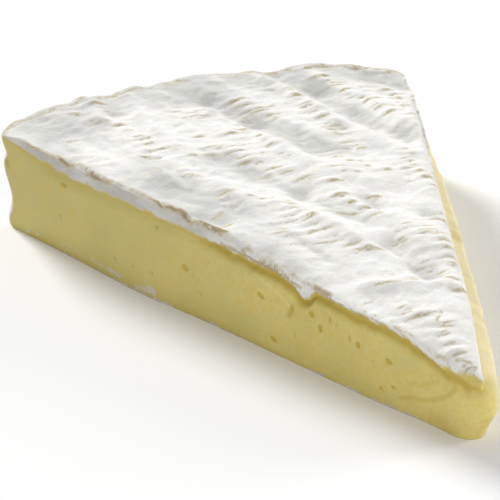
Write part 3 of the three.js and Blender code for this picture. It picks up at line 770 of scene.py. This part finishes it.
def band_depth(t, edge_z):
    """How much rind shows on edge under the cut edge."""
    low = rind_floor(np.abs(t)) + sum(hill(t, *part) for part in RIND_TONGUE)
    soft = 1 - crisp_share(t, np.abs(t))
    low = low + mix(0.3, 0.5, soft) * noise(t / 4.5, t * 0, 31)
    low = low + mix(0.22, 0.35, soft) * noise(t / 1.7, t * 0, 32)
    return np.clip(edge_z - low, *BAND_LIMITS)


def groove_depth(t):
    """Depth of the groove under the rolled rind edge."""
    left = mix(1.0, GROOVE_LEFT_FAR, smooth(*GROOVE_LEFT_FADES, -t)) * (1 - smooth(*GROOVE_LEFT_ENDS, -t))
    left = left * mix(GROOVE_LEFT_NEAR, 1.0, smooth(*GROOVE_LEFT_DEEPENS, -t))
    return GROOVE_IN * np.where(t < 0, left, 1 - smooth(*GROOVE_RIGHT_ENDS, t))


def cut_relief(t, edge_z, band, depth):
    """Each place of the cuts: how far below the rind's end it lies, height, paste's share, reach out."""
    below = depth - band
    z = edge_z - depth
    up = z / edge_z
    under = smooth(0, 0.9, below)
    paste = paste_bulge(t) * bulge_share(t, up)
    paste = mix(0.3 * paste, paste, smooth(0.5, GROOVE_SPAN + 1.2, below))
    groove = groove_depth(t)
    dip = groove * (0.75 * bell(below, 0.9, 0.9) + 0.25 * bell(below, 1.8, 1.4))
    ridge = 0.22 * groove * bell(below, 3.0, 0.9)
    band_out = BAND_OUT * crisp_share(t, np.abs(t)) * (1 - bell(depth, 0, 0.5))
    band_out = band_out + 0.28 * smooth(0, 1, depth) * noise(t / 2.6, depth / 1.3, 41)
    out = mix(band_out, paste - dip + ridge, under) + right_bow(t)
    low = (1 - up) ** 2
    out = out + FOOT_FLARE * bell(t, -FOOT_FLARE_AT, FOOT_FLARE_SPREAD) * low
    out = out - NOSE_TUCK * bell(t, -NOSE_TUCK_AT, NOSE_TUCK_SPREAD) * low
    out = out + under * smooth(*PASTE_ROUGH_STARTS, z) * layered(PASTE_ROUGH, t, z)
    return below, z, under, out


# What the material reads at each vertex: t on the cuts, how far below the rind's end it lies (below zero is
# rind), how much tan, ochre and painted shade, mould and painted highlight on the paste's lip it shows, and
# how grey its mould is, from thinner mould and painted shade.
TRAITS = ("along", "skin", "tan", "ochre_and_shade", "mould", "lip_highlight", "thin_and_shade")

# The value of "skin" away from the cuts.
ALL_RIND = -6.0


def stacked(*values):
    """One row per vertex and one column for each of the values."""
    return np.stack([np.ravel(v) for v in values], axis=1)


def rind_traits(skin, tan, thin_and_shade):
    """Traits of vertices away from the cuts."""
    none = 0 * thin_and_shade
    return stacked(none, none + skin, none + tan, none, none, none, thin_and_shade)


def crack_share(t, q):
    """Tan crack that follows the left cut edge. q runs from the edge onto the top."""
    middle = CRACK_IN + layered_line(CRACK_WANDER, t)
    half = CRACK_HALF + layered_line(CRACK_HALF_WANDER, t)
    where = smooth(*CRACK_STARTS, -t) * (1 - rise(-t, *CRACK_FADES))
    broken = mix(0.5, 1.0, smooth(-0.6, 0.2, noise(t / 5.5, t * 0, 74))) * where
    return CRACK_TAN * broken * bell(q, middle, half)


def cut_tan(t, z, depth, below):
    """Tan of the cuts: marks, the crack, a fringe where the rind ends, and the right face's rind band."""
    away = np.abs(t)
    fringe = bell(below, -0.3, 0.6) * smooth(-0.5, 0.3, noise(t / 2.3, z / 2.0, 75))
    fringe = fringe * mix(1.0, 0.3, smooth(60, 100, away) * (t < 0))
    band = smooth(40, 90, t) * smooth(-0.6, 0.2, noise(t / 2.2, z / 1.1, 86))
    band = band * (1 - smooth(-0.2, 0.5, below))
    shares = (mark_share("tan", t, z), crack_share(t, -depth), FRINGE_TAN * fringe, BAND_TAN * band)
    return np.maximum.reduce(shares)


def cut_ochre_and_shade(t, z, below):
    """Ochre of the cuts: a line under the rind that is painted shade in its groove, patches of the right
    face, the foot, and marks, some of them painted shade.
    """
    left = t < 0
    away = np.abs(t)
    rolled = 1 - smooth(84, 100, away)
    from_nose = smooth(20, 45, away)
    wide = np.where(left, mix(0.75, 1.7, rolled), 0.8)
    strength = mix(0.62, 1.25, rolled * from_nose) + 0.3 * (1 - from_nose)
    # Painted shade: ochre in the groove under the rind, deepest on the rolled part of the left cut.
    line = np.where(left, strength, 0.5) * bell(below, 0.8, wide)
    patches = smooth(0.0, 1.1, layered(PATCH_LAYERS, t, z))
    patches = patches * smooth(16, 30, t) * (1 - smooth(120, 150, t))
    foot = 1 - smooth(0.6, 3.6, z + 0.8 * noise(t / 7.0, z / 3.0, 76))
    foot = foot * mix(0.15, 0.4, smooth(40, 90, away))
    return np.maximum.reduce((line, PATCH_OCHRE * patches, foot, mark_share("ochre_and_shade", t, z)))


def cut_mould(t, z):
    """Mould on the cuts: crumbs along the foot, and marks."""
    crumbs = (1 - smooth(0.2, 0.9, z)) * smooth(0.05, 0.5, noise(t / 6.0, t * 0, 77))
    return np.maximum(mark_share("mould", t, z), crumbs)


def edge_stains(x, y, z):
    """Tan along the edges of the top, and its marks."""
    r = np.hypot(x, y)
    angle = np.arctan2(x, y)
    rim_gap = top_edge_radius(np.clip(angle, -HALF_ANGLE, HALF_ANGLE)) - r
    tan = bell(rim_gap, 0, RIM_EDGE_WIDTH) * smooth(-0.5, 0.2, noise(x / 1.4, y / 1.4, 78)) * RIM_EDGE_TAN
    from_left = np.clip(HALF_ANGLE + angle, 0, None)
    d = r * np.sin(from_left)
    t = -r * np.cos(from_left)
    near = d < CRACK_REACH
    tan[near] = np.maximum(tan[near], crack_share(t[near], d[near]))
    gap = edge_distance(x, y)
    rolled = smooth(*ROLL_TAN_STARTS, r) * np.where(x < 0, 1 - smooth(*ROLL_TAN_LEFT_ENDS, r), 1.0)
    tear = bell(r, TEAR_AT, TEAR_SPREAD) * (x < 0)
    up = z + 0.6 * gap
    grains = noise(r / 1.7, up / 1.1, 81) + 0.6 * noise(r / 0.9 + up, up / 0.7, 84)
    grains = grains + 0.7 * noise(r / 5.0, 0 * r, 85)
    fringe = bell(gap, 0, mix(*ROLL_TAN_WIDTH, tear)) * smooth(mix(*ROLL_TAN_SHOWS, tear), 0.6, grains)
    tan = np.maximum(tan, mix(*ROLL_TAN, tear) * rolled * fringe)
    for *ends, half, strength in TOP_MARKS:
        gap = np.hypot(*from_segment(x, y, ends)) / half
        tan = np.maximum(tan, strength * bell(gap, 0, 1))
    return tan


def tip_skin(x, y):
    """The trait "skin" of the top: near the tip, the rind stops short of the left edge."""
    r = np.hypot(x, y)
    short = TIP_SHORT * (1 - smooth(*TIP_SHORT_FADES, r)) - rise(r, *TIP_LONG)
    past = np.maximum(short - edge_distance(x, y), ALL_RIND)
    return np.where((x < 0) & (r < TIP_SHORT_END), past, ALL_RIND)


def rim_stains(angle, z):
    """Tan on the rim's side: broken streaks that run round it."""
    wide = layered_rim(RIM_STREAKS, angle, z)
    fine = layered_rim(RIM_FINE_STREAKS, angle, z)
    broad = smooth(0.35, 0.95, wide + 0.35 * bell(z, CROWN_H, 3.0) + 0.2 * fine)
    return np.maximum(0.85 * broad, 0.5 * smooth(0.5, 1.1, fine + 0.3 * wide))


def column(values):
    return values[:, None]


def wall_rows(band, edge_z):
    """Depths of the cuts' rows below the top's edge: through the rind band, the groove and the paste."""
    rows = [band * j / BAND_ROWS for j in range(1, BAND_ROWS + 1)]
    rows += [band + GROOVE_SPAN * j / GROOVE_ROWS for j in range(1, GROOVE_ROWS + 1)]
    rows += [mix(band + GROOVE_SPAN, edge_z, j / FACE_ROWS) for j in range(1, FACE_ROWS + 1)]
    return np.hstack(rows)


def all_eyes():
    """The holes of the left cut face, and seeded ones for the right face."""
    rng = np.random.default_rng(GUESSED_EYE_SEED)
    eyes = list(EYES)
    for _ in range(GUESSED_EYES):
        t, height, wide, tall, slant = (rng.uniform(*draw) for draw in GUESSED_EYE_DRAWS)
        if t > GUESSED_EYE_FROM or height < GUESSED_EYE_LOW:
            eyes.append((-t, height, wide, tall, slant))
    return eyes


def cut_holes(t, z):
    """Share of a hole's depth at each place of the cuts, and how ochre it is there, which is painted shade
    in the hole, more for larger holes.
    """
    pits = np.zeros_like(z)
    hole_ochre_and_shade = np.zeros_like(z)
    for at, height, wide, tall, slant in all_eyes():
        u = (-t - at) / wide
        v = (z - height - slant * (-t - at)) / tall
        su, sv = u * EYE_ROUGH_SCALE, v * EYE_ROUGH_SCALE
        rough_u = u + EYE_ROUGH * noise(su, sv + at, 44)
        rough_v = v + EYE_ROUGH * noise(su + at, sv, 45)
        pit = np.exp(-((rough_u ** 2 + rough_v ** 2) ** EYE_BLUNT))
        pits = np.maximum(pits, pit)
        # Painted shade: each hole is coloured ochre, more for larger holes.
        hole_ochre_and_shade = np.maximum(hole_ochre_and_shade, smooth(0.2, 0.9, pit) * mix(0.6, 1.5, smooth(0.3, 1.2, wide * tall)))
    return pits ** EYE_FLANK, hole_ochre_and_shade


def cut_faces(x, y, z, s, side):
    """Points and traits of both cuts, for the top's edge points, their distance from the tip and side."""
    corner_r = column(np.hypot(x, y))
    edge_z, s, side = column(z), column(s), column(side)
    t = side * s
    band = band_depth(t, edge_z)
    depth = wall_rows(band, edge_z)
    below, height, under, out = cut_relief(t, edge_z, band, depth)
    tip_r = mix(RIND_TIP_R, PASTE_TIP_R, smooth(*TIP_WIDENS, below))
    plan_x, plan_y = cut_outline(s, side, tip_r)
    shift_x, shift_y = rind_shift(s)
    held = 1 - smooth(*TIP_SHIFT_FADES, below)
    plan_x, plan_y = plan_x + shift_x * held, plan_y + shift_y * held
    normal_x, normal_y = cut_normal(s, side)
    pits, eye_ochre_and_shade = cut_holes(t, height)
    out = out - EYE_DEPTH * pits * under

    # Towards the rim the cut face's grid turns to the rim's own side.
    turned = smooth(EDGE_LENGTH - CORNER_BLEND, EDGE_LENGTH, s)
    share = np.arange(1, WALL_ROWS + 1) / WALL_ROWS
    corner_z = np.where(side < 0, z[0], z[-1])
    rim_r, rim_z = rim_profile(side * HALF_ANGLE, share, corner_z)
    reach = np.hypot(plan_x, plan_y)
    new_r = mix(np.where(reach < FREE_TIP, reach, corner_r), rim_r, turned * turned)
    scale = np.where(reach > TINY, new_r / np.maximum(reach, TINY), 1.0)
    out = out * (1 - turned)
    height = mix(height, rim_z, turned)
    tuck = corner_tuck(height, edge_z) * smooth(CORNER_TUCK_FROM, EDGE_LENGTH, s) * (side < 0)
    cut_x = plan_x * scale + normal_x * out + tuck * HALF_COS
    cut_y = plan_y * scale + normal_y * out + tuck * HALF_SIN

    skin = np.minimum(below, rim_r - new_r - RIM_SKIN)
    skin = skin + rise(s, *TIP_SHORT_ON_CUT) * ((side < 0) | (s < TIP_FRONT))
    t = np.broadcast_to(t, skin.shape)
    traits = stacked(
        t,
        skin,
        cut_tan(t, height, depth, below),
        np.maximum(cut_ochre_and_shade(t, height, below), eye_ochre_and_shade * under),
        cut_mould(t, height),
        np.where(t < 0, mark_share("lip_highlight", t, height), 0),
        np.full_like(skin, THIN_ON_CUT),
    )
    return stacked(cut_x, cut_y, height), traits


def rim_side(x, y, z):
    """Points and traits of the rim's side, for the top's edge points."""
    angle = column(np.arctan2(x, y)) * np.ones((1, WALL_ROWS))
    share = np.arange(1, WALL_ROWS + 1) / WALL_ROWS
    r, height = rim_profile(angle, share, column(z))
    tuck = corner_tuck(height, column(z)) * near_left_corner(angle, LEFT_TUCK_FROM)
    side_x = r * np.sin(angle) + tuck * HALF_COS
    side_y = r * np.cos(angle) + tuck * HALF_SIN
    # Painted shade on the rim's side, with its own greyer mould.
    thin_and_shade = RIM_SIDE_GREY_AND_SHADE + layered_rim(RIM_CLOUDS, angle, height)
    return stacked(side_x, side_y, height), rind_traits(ALL_RIND, rim_stains(angle, height), thin_and_shade)


def base_grid():
    """Places inside the base's outline, in staggered rows."""
    inner = []
    y = BASE_FROM
    row = 0
    while y < RIM_R:
        half = min(y * HALF_TAN - 1.2 * BASE_STEP, BASE_HALF)
        x = -half + (BASE_STEP / 2 if row % 2 else 0.0)
        while x < half:
            inside = float(rim_radius(np.array(math.atan2(x, y)))) - FOOT_R - 0.8 * BASE_STEP
            if math.hypot(x, y) < inside:
                inner.append(Vector((x, y)))
            x += BASE_STEP
        y += BASE_STEP * BASE_ROW_STEP
        row += 1
    return inner


def base_faces(points, foot):
    """New points and the triangles of the flat base, inside the outline that foot lists."""
    ring = [Vector((points[i][0], points[i][1])) for i in foot]
    inner = base_grid()
    edges = [(i, (i + 1) % len(ring)) for i in range(len(ring))]
    flat, _, tris, origin, _, _ = delaunay_2d_cdt(ring + inner, edges, [], 1, TINY)
    if len(flat) != len(ring) + len(inner):
        raise SystemExit(f"base outline gained points: {len(flat)} against {len(ring) + len(inner)}")
    ids = np.empty(len(flat), int)
    extra = []
    for new, olds in enumerate(origin):
        if olds[0] < len(ring):
            ids[new] = foot[olds[0]]
        else:
            ids[new] = len(points) + len(extra)
            extra.append((flat[new][0], flat[new][1], 0.0))
    faces = []
    for tri in tris:
        p, q, r = (flat[i] for i in tri)
        turn = (q[0] - p[0]) * (r[1] - p[1]) - (q[1] - p[1]) * (r[0] - p[0])
        faces.append([ids[i] for i in (tri if turn < 0 else tri[::-1])])
    return np.array(extra), np.array(faces)


def top_faces(first):
    """Triangles between the rows of the top's grid, where first lists each row's first point."""
    faces = []
    for k in range(TOP_ROWS):
        a = first[k] + np.arange(k + 1)
        b = first[k + 1] + np.arange(k + 2)
        faces.append(np.stack([a, b[1:], b[:-1]], axis=1))
        if k:
            faces.append(np.stack([a[:-1], a[1:], b[1:-1]], axis=1))
    return faces


def side_faces(columns):
    """Triangles between neighbouring columns of the closed side."""
    after = np.roll(columns, -1, axis=0)
    a, b = columns[:, :-1].ravel(), columns[:, 1:].ravel()
    c, d = after[:, 1:].ravel(), after[:, :-1].ravel()
    return [np.stack([a, b, c], axis=1), np.stack([a, c, d], axis=1)]


def build_mesh():
    """Points, triangles and traits of the whole wedge, as one closed mesh."""
    xs, ys = top_grid()
    first = np.cumsum([0] + [len(row) for row in xs])
    x, y = np.concatenate(xs), np.concatenate(ys)
    z = top_height(x, y)
    tan = np.maximum.reduce((streak_mask(x, y)[0], rib_field(x, y)[1], edge_stains(x, y, z)))
    top_traits = rind_traits(tip_skin(x, y), tan, thin_mould_and_shade(x, y))

    # Columns of the closed side: left cut from rim to tip, right cut back to the rim, round the rim.
    left_ids = first[TOP_ROWS::-1]
    right_ids = first[2:] - 1
    rim_ids = np.arange(first[TOP_ROWS + 1] - 2, first[TOP_ROWS], -1)
    cut_ids = np.concatenate([left_ids, right_ids])
    reach = np.array([row_reach(k) for k in range(TOP_ROWS + 1)])
    s = np.concatenate([reach[::-1], reach[1:]])
    side = np.concatenate([-np.ones(len(left_ids)), np.ones(len(right_ids))])
    cuts, cut_traits = cut_faces(x[cut_ids], y[cut_ids], z[cut_ids], s, side)
    rim, rim_traits = rim_side(x[rim_ids], y[rim_ids], z[rim_ids])
    points = np.concatenate([stacked(x, y, z), cuts, rim])
    walls = np.arange(len(x), len(points)).reshape(-1, WALL_ROWS)
    columns = np.column_stack([np.concatenate([cut_ids, rim_ids]), walls])

    # The flat base closes the mesh.
    extra, base = base_faces(points, columns[:, -1])
    base_traits = rind_traits(ALL_RIND, 0, np.zeros(len(extra)))
    return (
        np.concatenate([points, extra]),
        np.concatenate(top_faces(first) + side_faces(columns) + [base]),
        np.concatenate([top_traits, cut_traits, rim_traits, base_traits]),
    )


def add_mesh(name, points, faces, traits):
    """A smooth mesh of triangles, with a float attribute for each trait."""
    mesh = bpy.data.meshes.new(name)
    mesh.vertices.add(len(points))
    mesh.vertices.foreach_set("co", points.astype(np.float32).ravel())
    mesh.loops.add(faces.size)
    mesh.loops.foreach_set("vertex_index", faces.astype(np.int32).ravel())
    mesh.polygons.add(len(faces))
    mesh.polygons.foreach_set("loop_start", np.arange(0, faces.size, 3, dtype=np.int32))
    mesh.polygons.foreach_set("loop_total", np.full(len(faces), 3, np.int32))
    mesh.update(calc_edges=True)
    mesh.validate()
    for i, trait in enumerate(TRAITS):
        layer = mesh.attributes.new(trait, "FLOAT", "POINT")
        layer.data.foreach_set("value", traits[:, i].astype(np.float32))
    mesh.polygons.foreach_set("use_smooth", np.ones(len(faces), bool))
    return add_object(name, mesh)


def add_object(name, data):
    obj = bpy.data.objects.new(name, data)
    bpy.context.collection.objects.link(obj)
    return obj


# Colours as a screen shows them, from 0 to 255.
RIND_SHADE = (240, 239, 235)
RIND_LIGHT = (248, 247, 243)
RIND_THIN_AND_SHADE = (206, 206, 202)
RIND_RIM_GREY_AND_SHADE = (188, 185, 176)
RIND_SPECKS = (226, 222, 211)
RIND_CUT_BAND_SHADE = (188, 185, 177)
STAIN_PALE = (214, 204, 180)
STAIN = (196, 182, 150)
STAIN_DEEP = (160, 141, 102)
PASTE_SHADE = (209, 194, 114)
PASTE_LIGHT = (222, 204, 124)
PASTE_FAR_SHADE = (182, 174, 108)
PASTE_WARM = (214, 187, 96)
PASTE_GRAIN = (214, 184, 86)
PASTE_FLECKS = (198, 188, 136)
PASTE_RIGHT_LIT = (244, 232, 186)
OCHRE_AND_SHADE = (188, 162, 62)
OCHRE_DEEP_SHADE = (205, 174, 54)
LIP_HIGHLIGHT = (236, 224, 166)
MOULD = (208, 199, 184)

# Noise textures: scale (for places in metres), detail, roughness.
CLOUD_NOISE = (70.0, 4.0, 0.55)
SPECK_NOISE = (900.0, 3.0, 0.6)
GRAIN_NOISE = (2600.0, 2.0, 0.6)
BROKEN_NOISE = (1.0, 3.0, 0.65)
BROKEN_STRETCH = (260.0, 800.0, 260.0)
PATCH_NOISE = (45.0, 4.0, 0.55)
WARM_NOISE = (170.0, 3.0, 0.6)
FINE_NOISE = (620.0, 4.0, 0.65)
FLECK_NOISE = (1500.0, 2.0, 0.6)
CRUMB_NOISE = (480.0, 4.0, 0.7)
RAGGED_NOISE = (420.0, 5.0, 0.7)

RIND_ROUGHNESS = 0.88
PASTE_SMOOTHER = -0.33
SUBSURFACE = 0.25
SUBSURFACE_RADIUS = (1.0, 0.8, 0.4)
SUBSURFACE_SCALE = 0.002
SPECULAR = 0.4
BUMP_STRENGTH = 0.65
BUMP_DISTANCE = 0.0004


def linear(colour):
    """A screen colour as the linear one that a shader takes. All colours here are above its dark part."""
    return tuple(((v / 255 + 0.055) / 1.055) ** 2.4 for v in colour)


class Nodes:
    """Short calls that add and join shader nodes."""

    def __init__(self, material):
        material.use_nodes = True
        self.tree = material.node_tree
        self.tree.nodes.clear()

    def add(self, kind, **values):
        node = self.tree.nodes.new("ShaderNode" + kind)
        for key, value in values.items():
            setattr(node, key, value)
        return node

    def put(self, socket, value):
        if isinstance(value, bpy.types.NodeSocket):
            self.tree.links.new(value, socket)
        else:
            socket.default_value = value

    def math(self, operation, *values):
        node = self.add("Math", operation=operation)
        for socket, value in zip(node.inputs, values):
            self.put(socket, value)
        return node.outputs[0]

    def ramp(self, value, low, high, out_low=0.0, out_high=1.0):
        node = self.add("MapRange", interpolation_type="SMOOTHSTEP")
        names = ("Value", "From Min", "From Max", "To Min", "To Max")
        for name, v in zip(names, (value, low, high, out_low, out_high)):
            self.put(node.inputs[name], v)
        return node.outputs["Result"]

    def mix(self, factor, a, b):
        """Two colours mixed, each a screen colour or the output of a node."""
        node = self.add("Mix", data_type="RGBA")
        self.put(node.inputs["Factor"], factor)
        for name, v in (("A", a), ("B", b)):
            socket = [s for s in node.inputs if s.name == name and s.type == "RGBA"][0]
            self.put(socket, v if isinstance(v, bpy.types.NodeSocket) else (*linear(v), 1.0))
        return [s for s in node.outputs if s.type == "RGBA"][0]

    def attribute(self, name):
        return self.add("Attribute", attribute_name=name).outputs["Fac"]

    def noise(self, vector, scale, detail, rough):
        node = self.add("TexNoise")
        for name, v in (("Vector", vector), ("Scale", scale), ("Detail", detail), ("Roughness", rough)):
            self.put(node.inputs[name], v)
        return node.outputs["Fac"]

    def stretch(self, vector, scale):
        node = self.add("Mapping")
        self.put(node.inputs["Vector"], vector)
        self.put(node.inputs["Scale"], scale)
        return node.outputs["Vector"]


def cheese_material():
    material = bpy.data.materials.new("brie")
    n = Nodes(material)
    place = n.add("TexCoord").outputs["Object"]
    along, skin, tan, ochre_and_shade, mould, lip_highlight, thin_and_shade = (n.attribute(name) for name in TRAITS)

    # White mould, grey where it is thinner and where shade is painted, and tan stains.
    cloudy = n.noise(place, *CLOUD_NOISE)
    speck = n.noise(place, *SPECK_NOISE)
    rind = n.mix(n.ramp(cloudy, 0.35, 0.7), RIND_SHADE, RIND_LIGHT)
    # Painted shade: this grey darkens the rind in its valleys, near the rim and beside the left cut.
    rind = n.mix(n.ramp(thin_and_shade, 0.15, 1.1, 0.0, 0.9), rind, RIND_THIN_AND_SHADE)
    # Only the rim's side reaches this grey: painted shade, with its own greyer mould.
    rind = n.mix(n.ramp(thin_and_shade, 1.15, 1.7, 0.0, 0.9), rind, RIND_RIM_GREY_AND_SHADE)
    rind = n.mix(n.ramp(speck, 0.54, 0.76, 0.0, 0.4), rind, RIND_SPECKS)
    broken = n.noise(n.stretch(place, BROKEN_STRETCH), *BROKEN_NOISE)
    tan_mask = n.math("MULTIPLY", tan, n.ramp(broken, 0.30, 0.62, 0.45, 1.3))
    tan_mask = n.ramp(tan_mask, 0.16, 0.85, 0.0, 0.9)
    stain = n.mix(n.ramp(speck, 0.4, 0.6), STAIN_PALE, STAIN)
    stain = n.mix(n.ramp(tan, 0.7, 1.1), stain, STAIN_DEEP)
    rind = n.mix(tan_mask, rind, stain)

    # Yellow paste, a little uneven; ochre with painted shade in its holes, under the rind and in the nose's
    # creases;
    # painted shade towards the rim end of the left cut, painted light on the right cut, which is paler, and
    # a painted highlight on the lip.
    fine = n.noise(place, *FINE_NOISE)
    paste = n.mix(n.ramp(n.noise(place, *PATCH_NOISE), 0.3, 0.7), PASTE_SHADE, PASTE_LIGHT)
    # Painted shade: the left cut's paste is darker towards the rim end.
    paste = n.mix(n.ramp(along, -175.0, -30.0, 0.5, 0.0), paste, PASTE_FAR_SHADE)
    paste = n.mix(n.ramp(n.noise(place, *WARM_NOISE), 0.5, 0.72, 0.0, 0.35), paste, PASTE_WARM)
    paste = n.mix(n.ramp(fine, 0.42, 0.68, 0.0, 0.5), paste, PASTE_GRAIN)
    paste = n.mix(n.ramp(n.noise(place, *FLECK_NOISE), 0.48, 0.7, 0.0, 0.6), paste, PASTE_FLECKS)
    # Painted light: the paste of the right cut is paler, for the light and sheen on that face, with its
    # paler skin.
    paste = n.mix(n.ramp(along, 2.0, 16.0, 0.0, 0.88), paste, PASTE_RIGHT_LIT)
    # Painted shade: ochre and deep ochre in the groove under the rind and in the holes, with the paste's
    # own ochre patches and marks.
    paste = n.mix(n.ramp(ochre_and_shade, 0.1, 1.0, 0.0, 0.87), paste, OCHRE_AND_SHADE)
    paste = n.mix(n.ramp(ochre_and_shade, 1.05, 1.4, 0.0, 0.85), paste, OCHRE_DEEP_SHADE)
    # Painted highlight on the paste's lip below the groove.
    paste = n.mix(n.ramp(lip_highlight, 0.2, 0.8, 0.0, 0.5), paste, LIP_HIGHLIGHT)
    edge = n.math("MULTIPLY_ADD", n.noise(place, *CRUMB_NOISE), 3.4, -1.7)
    crumbs = n.ramp(n.math("ADD", mould, edge), 0.45, 0.75)
    crumbs = n.math("MULTIPLY", crumbs, n.ramp(mould, 0.05, 0.3))
    paste = n.mix(crumbs, paste, MOULD)

    # Where the rind ends on the cut faces, with a slightly ragged edge.
    ragged = n.math("MULTIPLY_ADD", n.noise(place, *RAGGED_NOISE), 3.6, -1.8)
    is_paste = n.ramp(n.math("ADD", skin, ragged), -0.6, 0.6)
    # Painted shade: on the cut faces the rind's band is greyed, most on the far half of the left cut.
    on_cut = n.ramp(skin, ALL_RIND + 1.0, ALL_RIND + 1.6)
    on_cut = n.math("MULTIPLY", on_cut, n.ramp(along, -98.0, -80.0, 1.0, 0.25))
    cut_band_shade = n.math("MULTIPLY", on_cut, n.ramp(cloudy, 0.35, 0.65, 0.55, 0.95))
    rind = n.mix(cut_band_shade, rind, RIND_CUT_BAND_SHADE)
    rind = n.mix(n.math("MULTIPLY", on_cut, tan_mask), rind, stain)

    shader = n.add("BsdfPrincipled")
    n.put(shader.inputs["Base Color"], n.mix(is_paste, rind, paste))
    roughness = n.math("MULTIPLY_ADD", is_paste, PASTE_SMOOTHER, RIND_ROUGHNESS)
    n.put(shader.inputs["Roughness"], roughness)
    n.put(shader.inputs["Subsurface Weight"], SUBSURFACE)
    n.put(shader.inputs["Subsurface Radius"], SUBSURFACE_RADIUS)
    n.put(shader.inputs["Subsurface Scale"], SUBSURFACE_SCALE)
    n.put(shader.inputs["Specular IOR Level"], SPECULAR)
    fuzz = n.math("ADD", speck, n.math("MULTIPLY", n.noise(place, *GRAIN_NOISE), 0.4))
    fuzz = n.math("MULTIPLY", n.math("SUBTRACT", 1.0, is_paste), fuzz)
    grain = n.math("MULTIPLY", is_paste, n.math("MULTIPLY", fine, 0.45))
    bump = n.add("Bump")
    n.put(bump.inputs["Strength"], BUMP_STRENGTH)
    n.put(bump.inputs["Distance"], BUMP_DISTANCE)
    n.put(bump.inputs["Height"], n.math("ADD", fuzz, grain))
    n.put(shader.inputs["Normal"], bump.outputs["Normal"])
    n.put(n.add("OutputMaterial").inputs["Surface"], shader.outputs["BSDF"])
    return material


points, faces, traits = build_mesh()
wedge = add_mesh("wedge", (points - np.array(MIDDLE)) * MM, faces, traits)
wedge.data.materials.append(cheese_material())
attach(wedge, "root")
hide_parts("brie_wedge")

# Pale floor, in metres.
FLOOR_HALF = 3.0
FLOOR_COLOUR = (0.93, 0.93, 0.93, 1.0)
FLOOR_ROUGHNESS = 0.9
floor_mesh = bpy.data.meshes.new("floor")
corners = [(x * FLOOR_HALF, y * FLOOR_HALF, 0) for x, y in ((-1, -1), (1, -1), (1, 1), (-1, 1))]
floor_mesh.from_pydata(corners, [], [(0, 1, 2, 3)])
floor = add_object("floor", floor_mesh)
pale = bpy.data.materials.new("pale_floor")
pale.use_nodes = True
pale_inputs = pale.node_tree.nodes["Principled BSDF"].inputs
pale_inputs["Base Color"].default_value = FLOOR_COLOUR
pale_inputs["Roughness"].default_value = FLOOR_ROUGHNESS
floor.data.materials.append(pale)

# Round lights: name, place and size in metres, power in watts.
LIGHTS = (
    ("key", (-0.8, 3.9, 2.2), 1.4, 215.0),
    ("side", (1.2, -0.25, 0.42), 0.5, 6.5),
    ("fill", (-0.15, -1.15, 0.38), 0.7, 4.6),
)
LIGHT_AIM = (0, 0, 0.02)
WORLD_COLOUR = (1.0, 1.0, 1.0, 1.0)
WORLD_STRENGTH = 0.38

# The photograph's camera: place and aim in millimetres from the wheel's middle.
CAMERA_AT = (-178.9, -261.6, 211.2)
CAMERA_AIM = (-7.1, 121.5, 0.0)
LENS = 112.75
SENSOR = 36.0
CLIP_START = 0.01


def aim(obj, place, target):
    """Put a light or a camera at a place and turn it to a target, both in metres."""
    obj.location = place
    obj.rotation_euler = (Vector(target) - obj.location).to_track_quat("-Z", "Y").to_euler()


for name, place, size, power in LIGHTS:
    lamp_data = bpy.data.lights.new(name, "AREA")
    lamp_data.shape = "DISK"
    lamp_data.size = size
    lamp_data.energy = power
    aim(add_object(name, lamp_data), place, LIGHT_AIM)

world = bpy.data.worlds.new("studio")
bpy.context.scene.world = world
world.use_nodes = True
background = world.node_tree.nodes["Background"]
background.inputs["Color"].default_value = WORLD_COLOUR
background.inputs["Strength"].default_value = WORLD_STRENGTH

camera_data = bpy.data.cameras.new("camera")
camera_data.sensor_fit = "HORIZONTAL"
camera_data.sensor_width = SENSOR
camera_data.lens = LENS
camera_data.clip_start = CLIP_START
camera = add_object("camera", camera_data)
middle = Vector(MIDDLE)
aim(camera, (Vector(CAMERA_AT) - middle) * MM, (Vector(CAMERA_AIM) - middle) * MM)
bpy.context.scene.camera = camera
bpy.context.scene.view_settings.view_transform = "Standard"
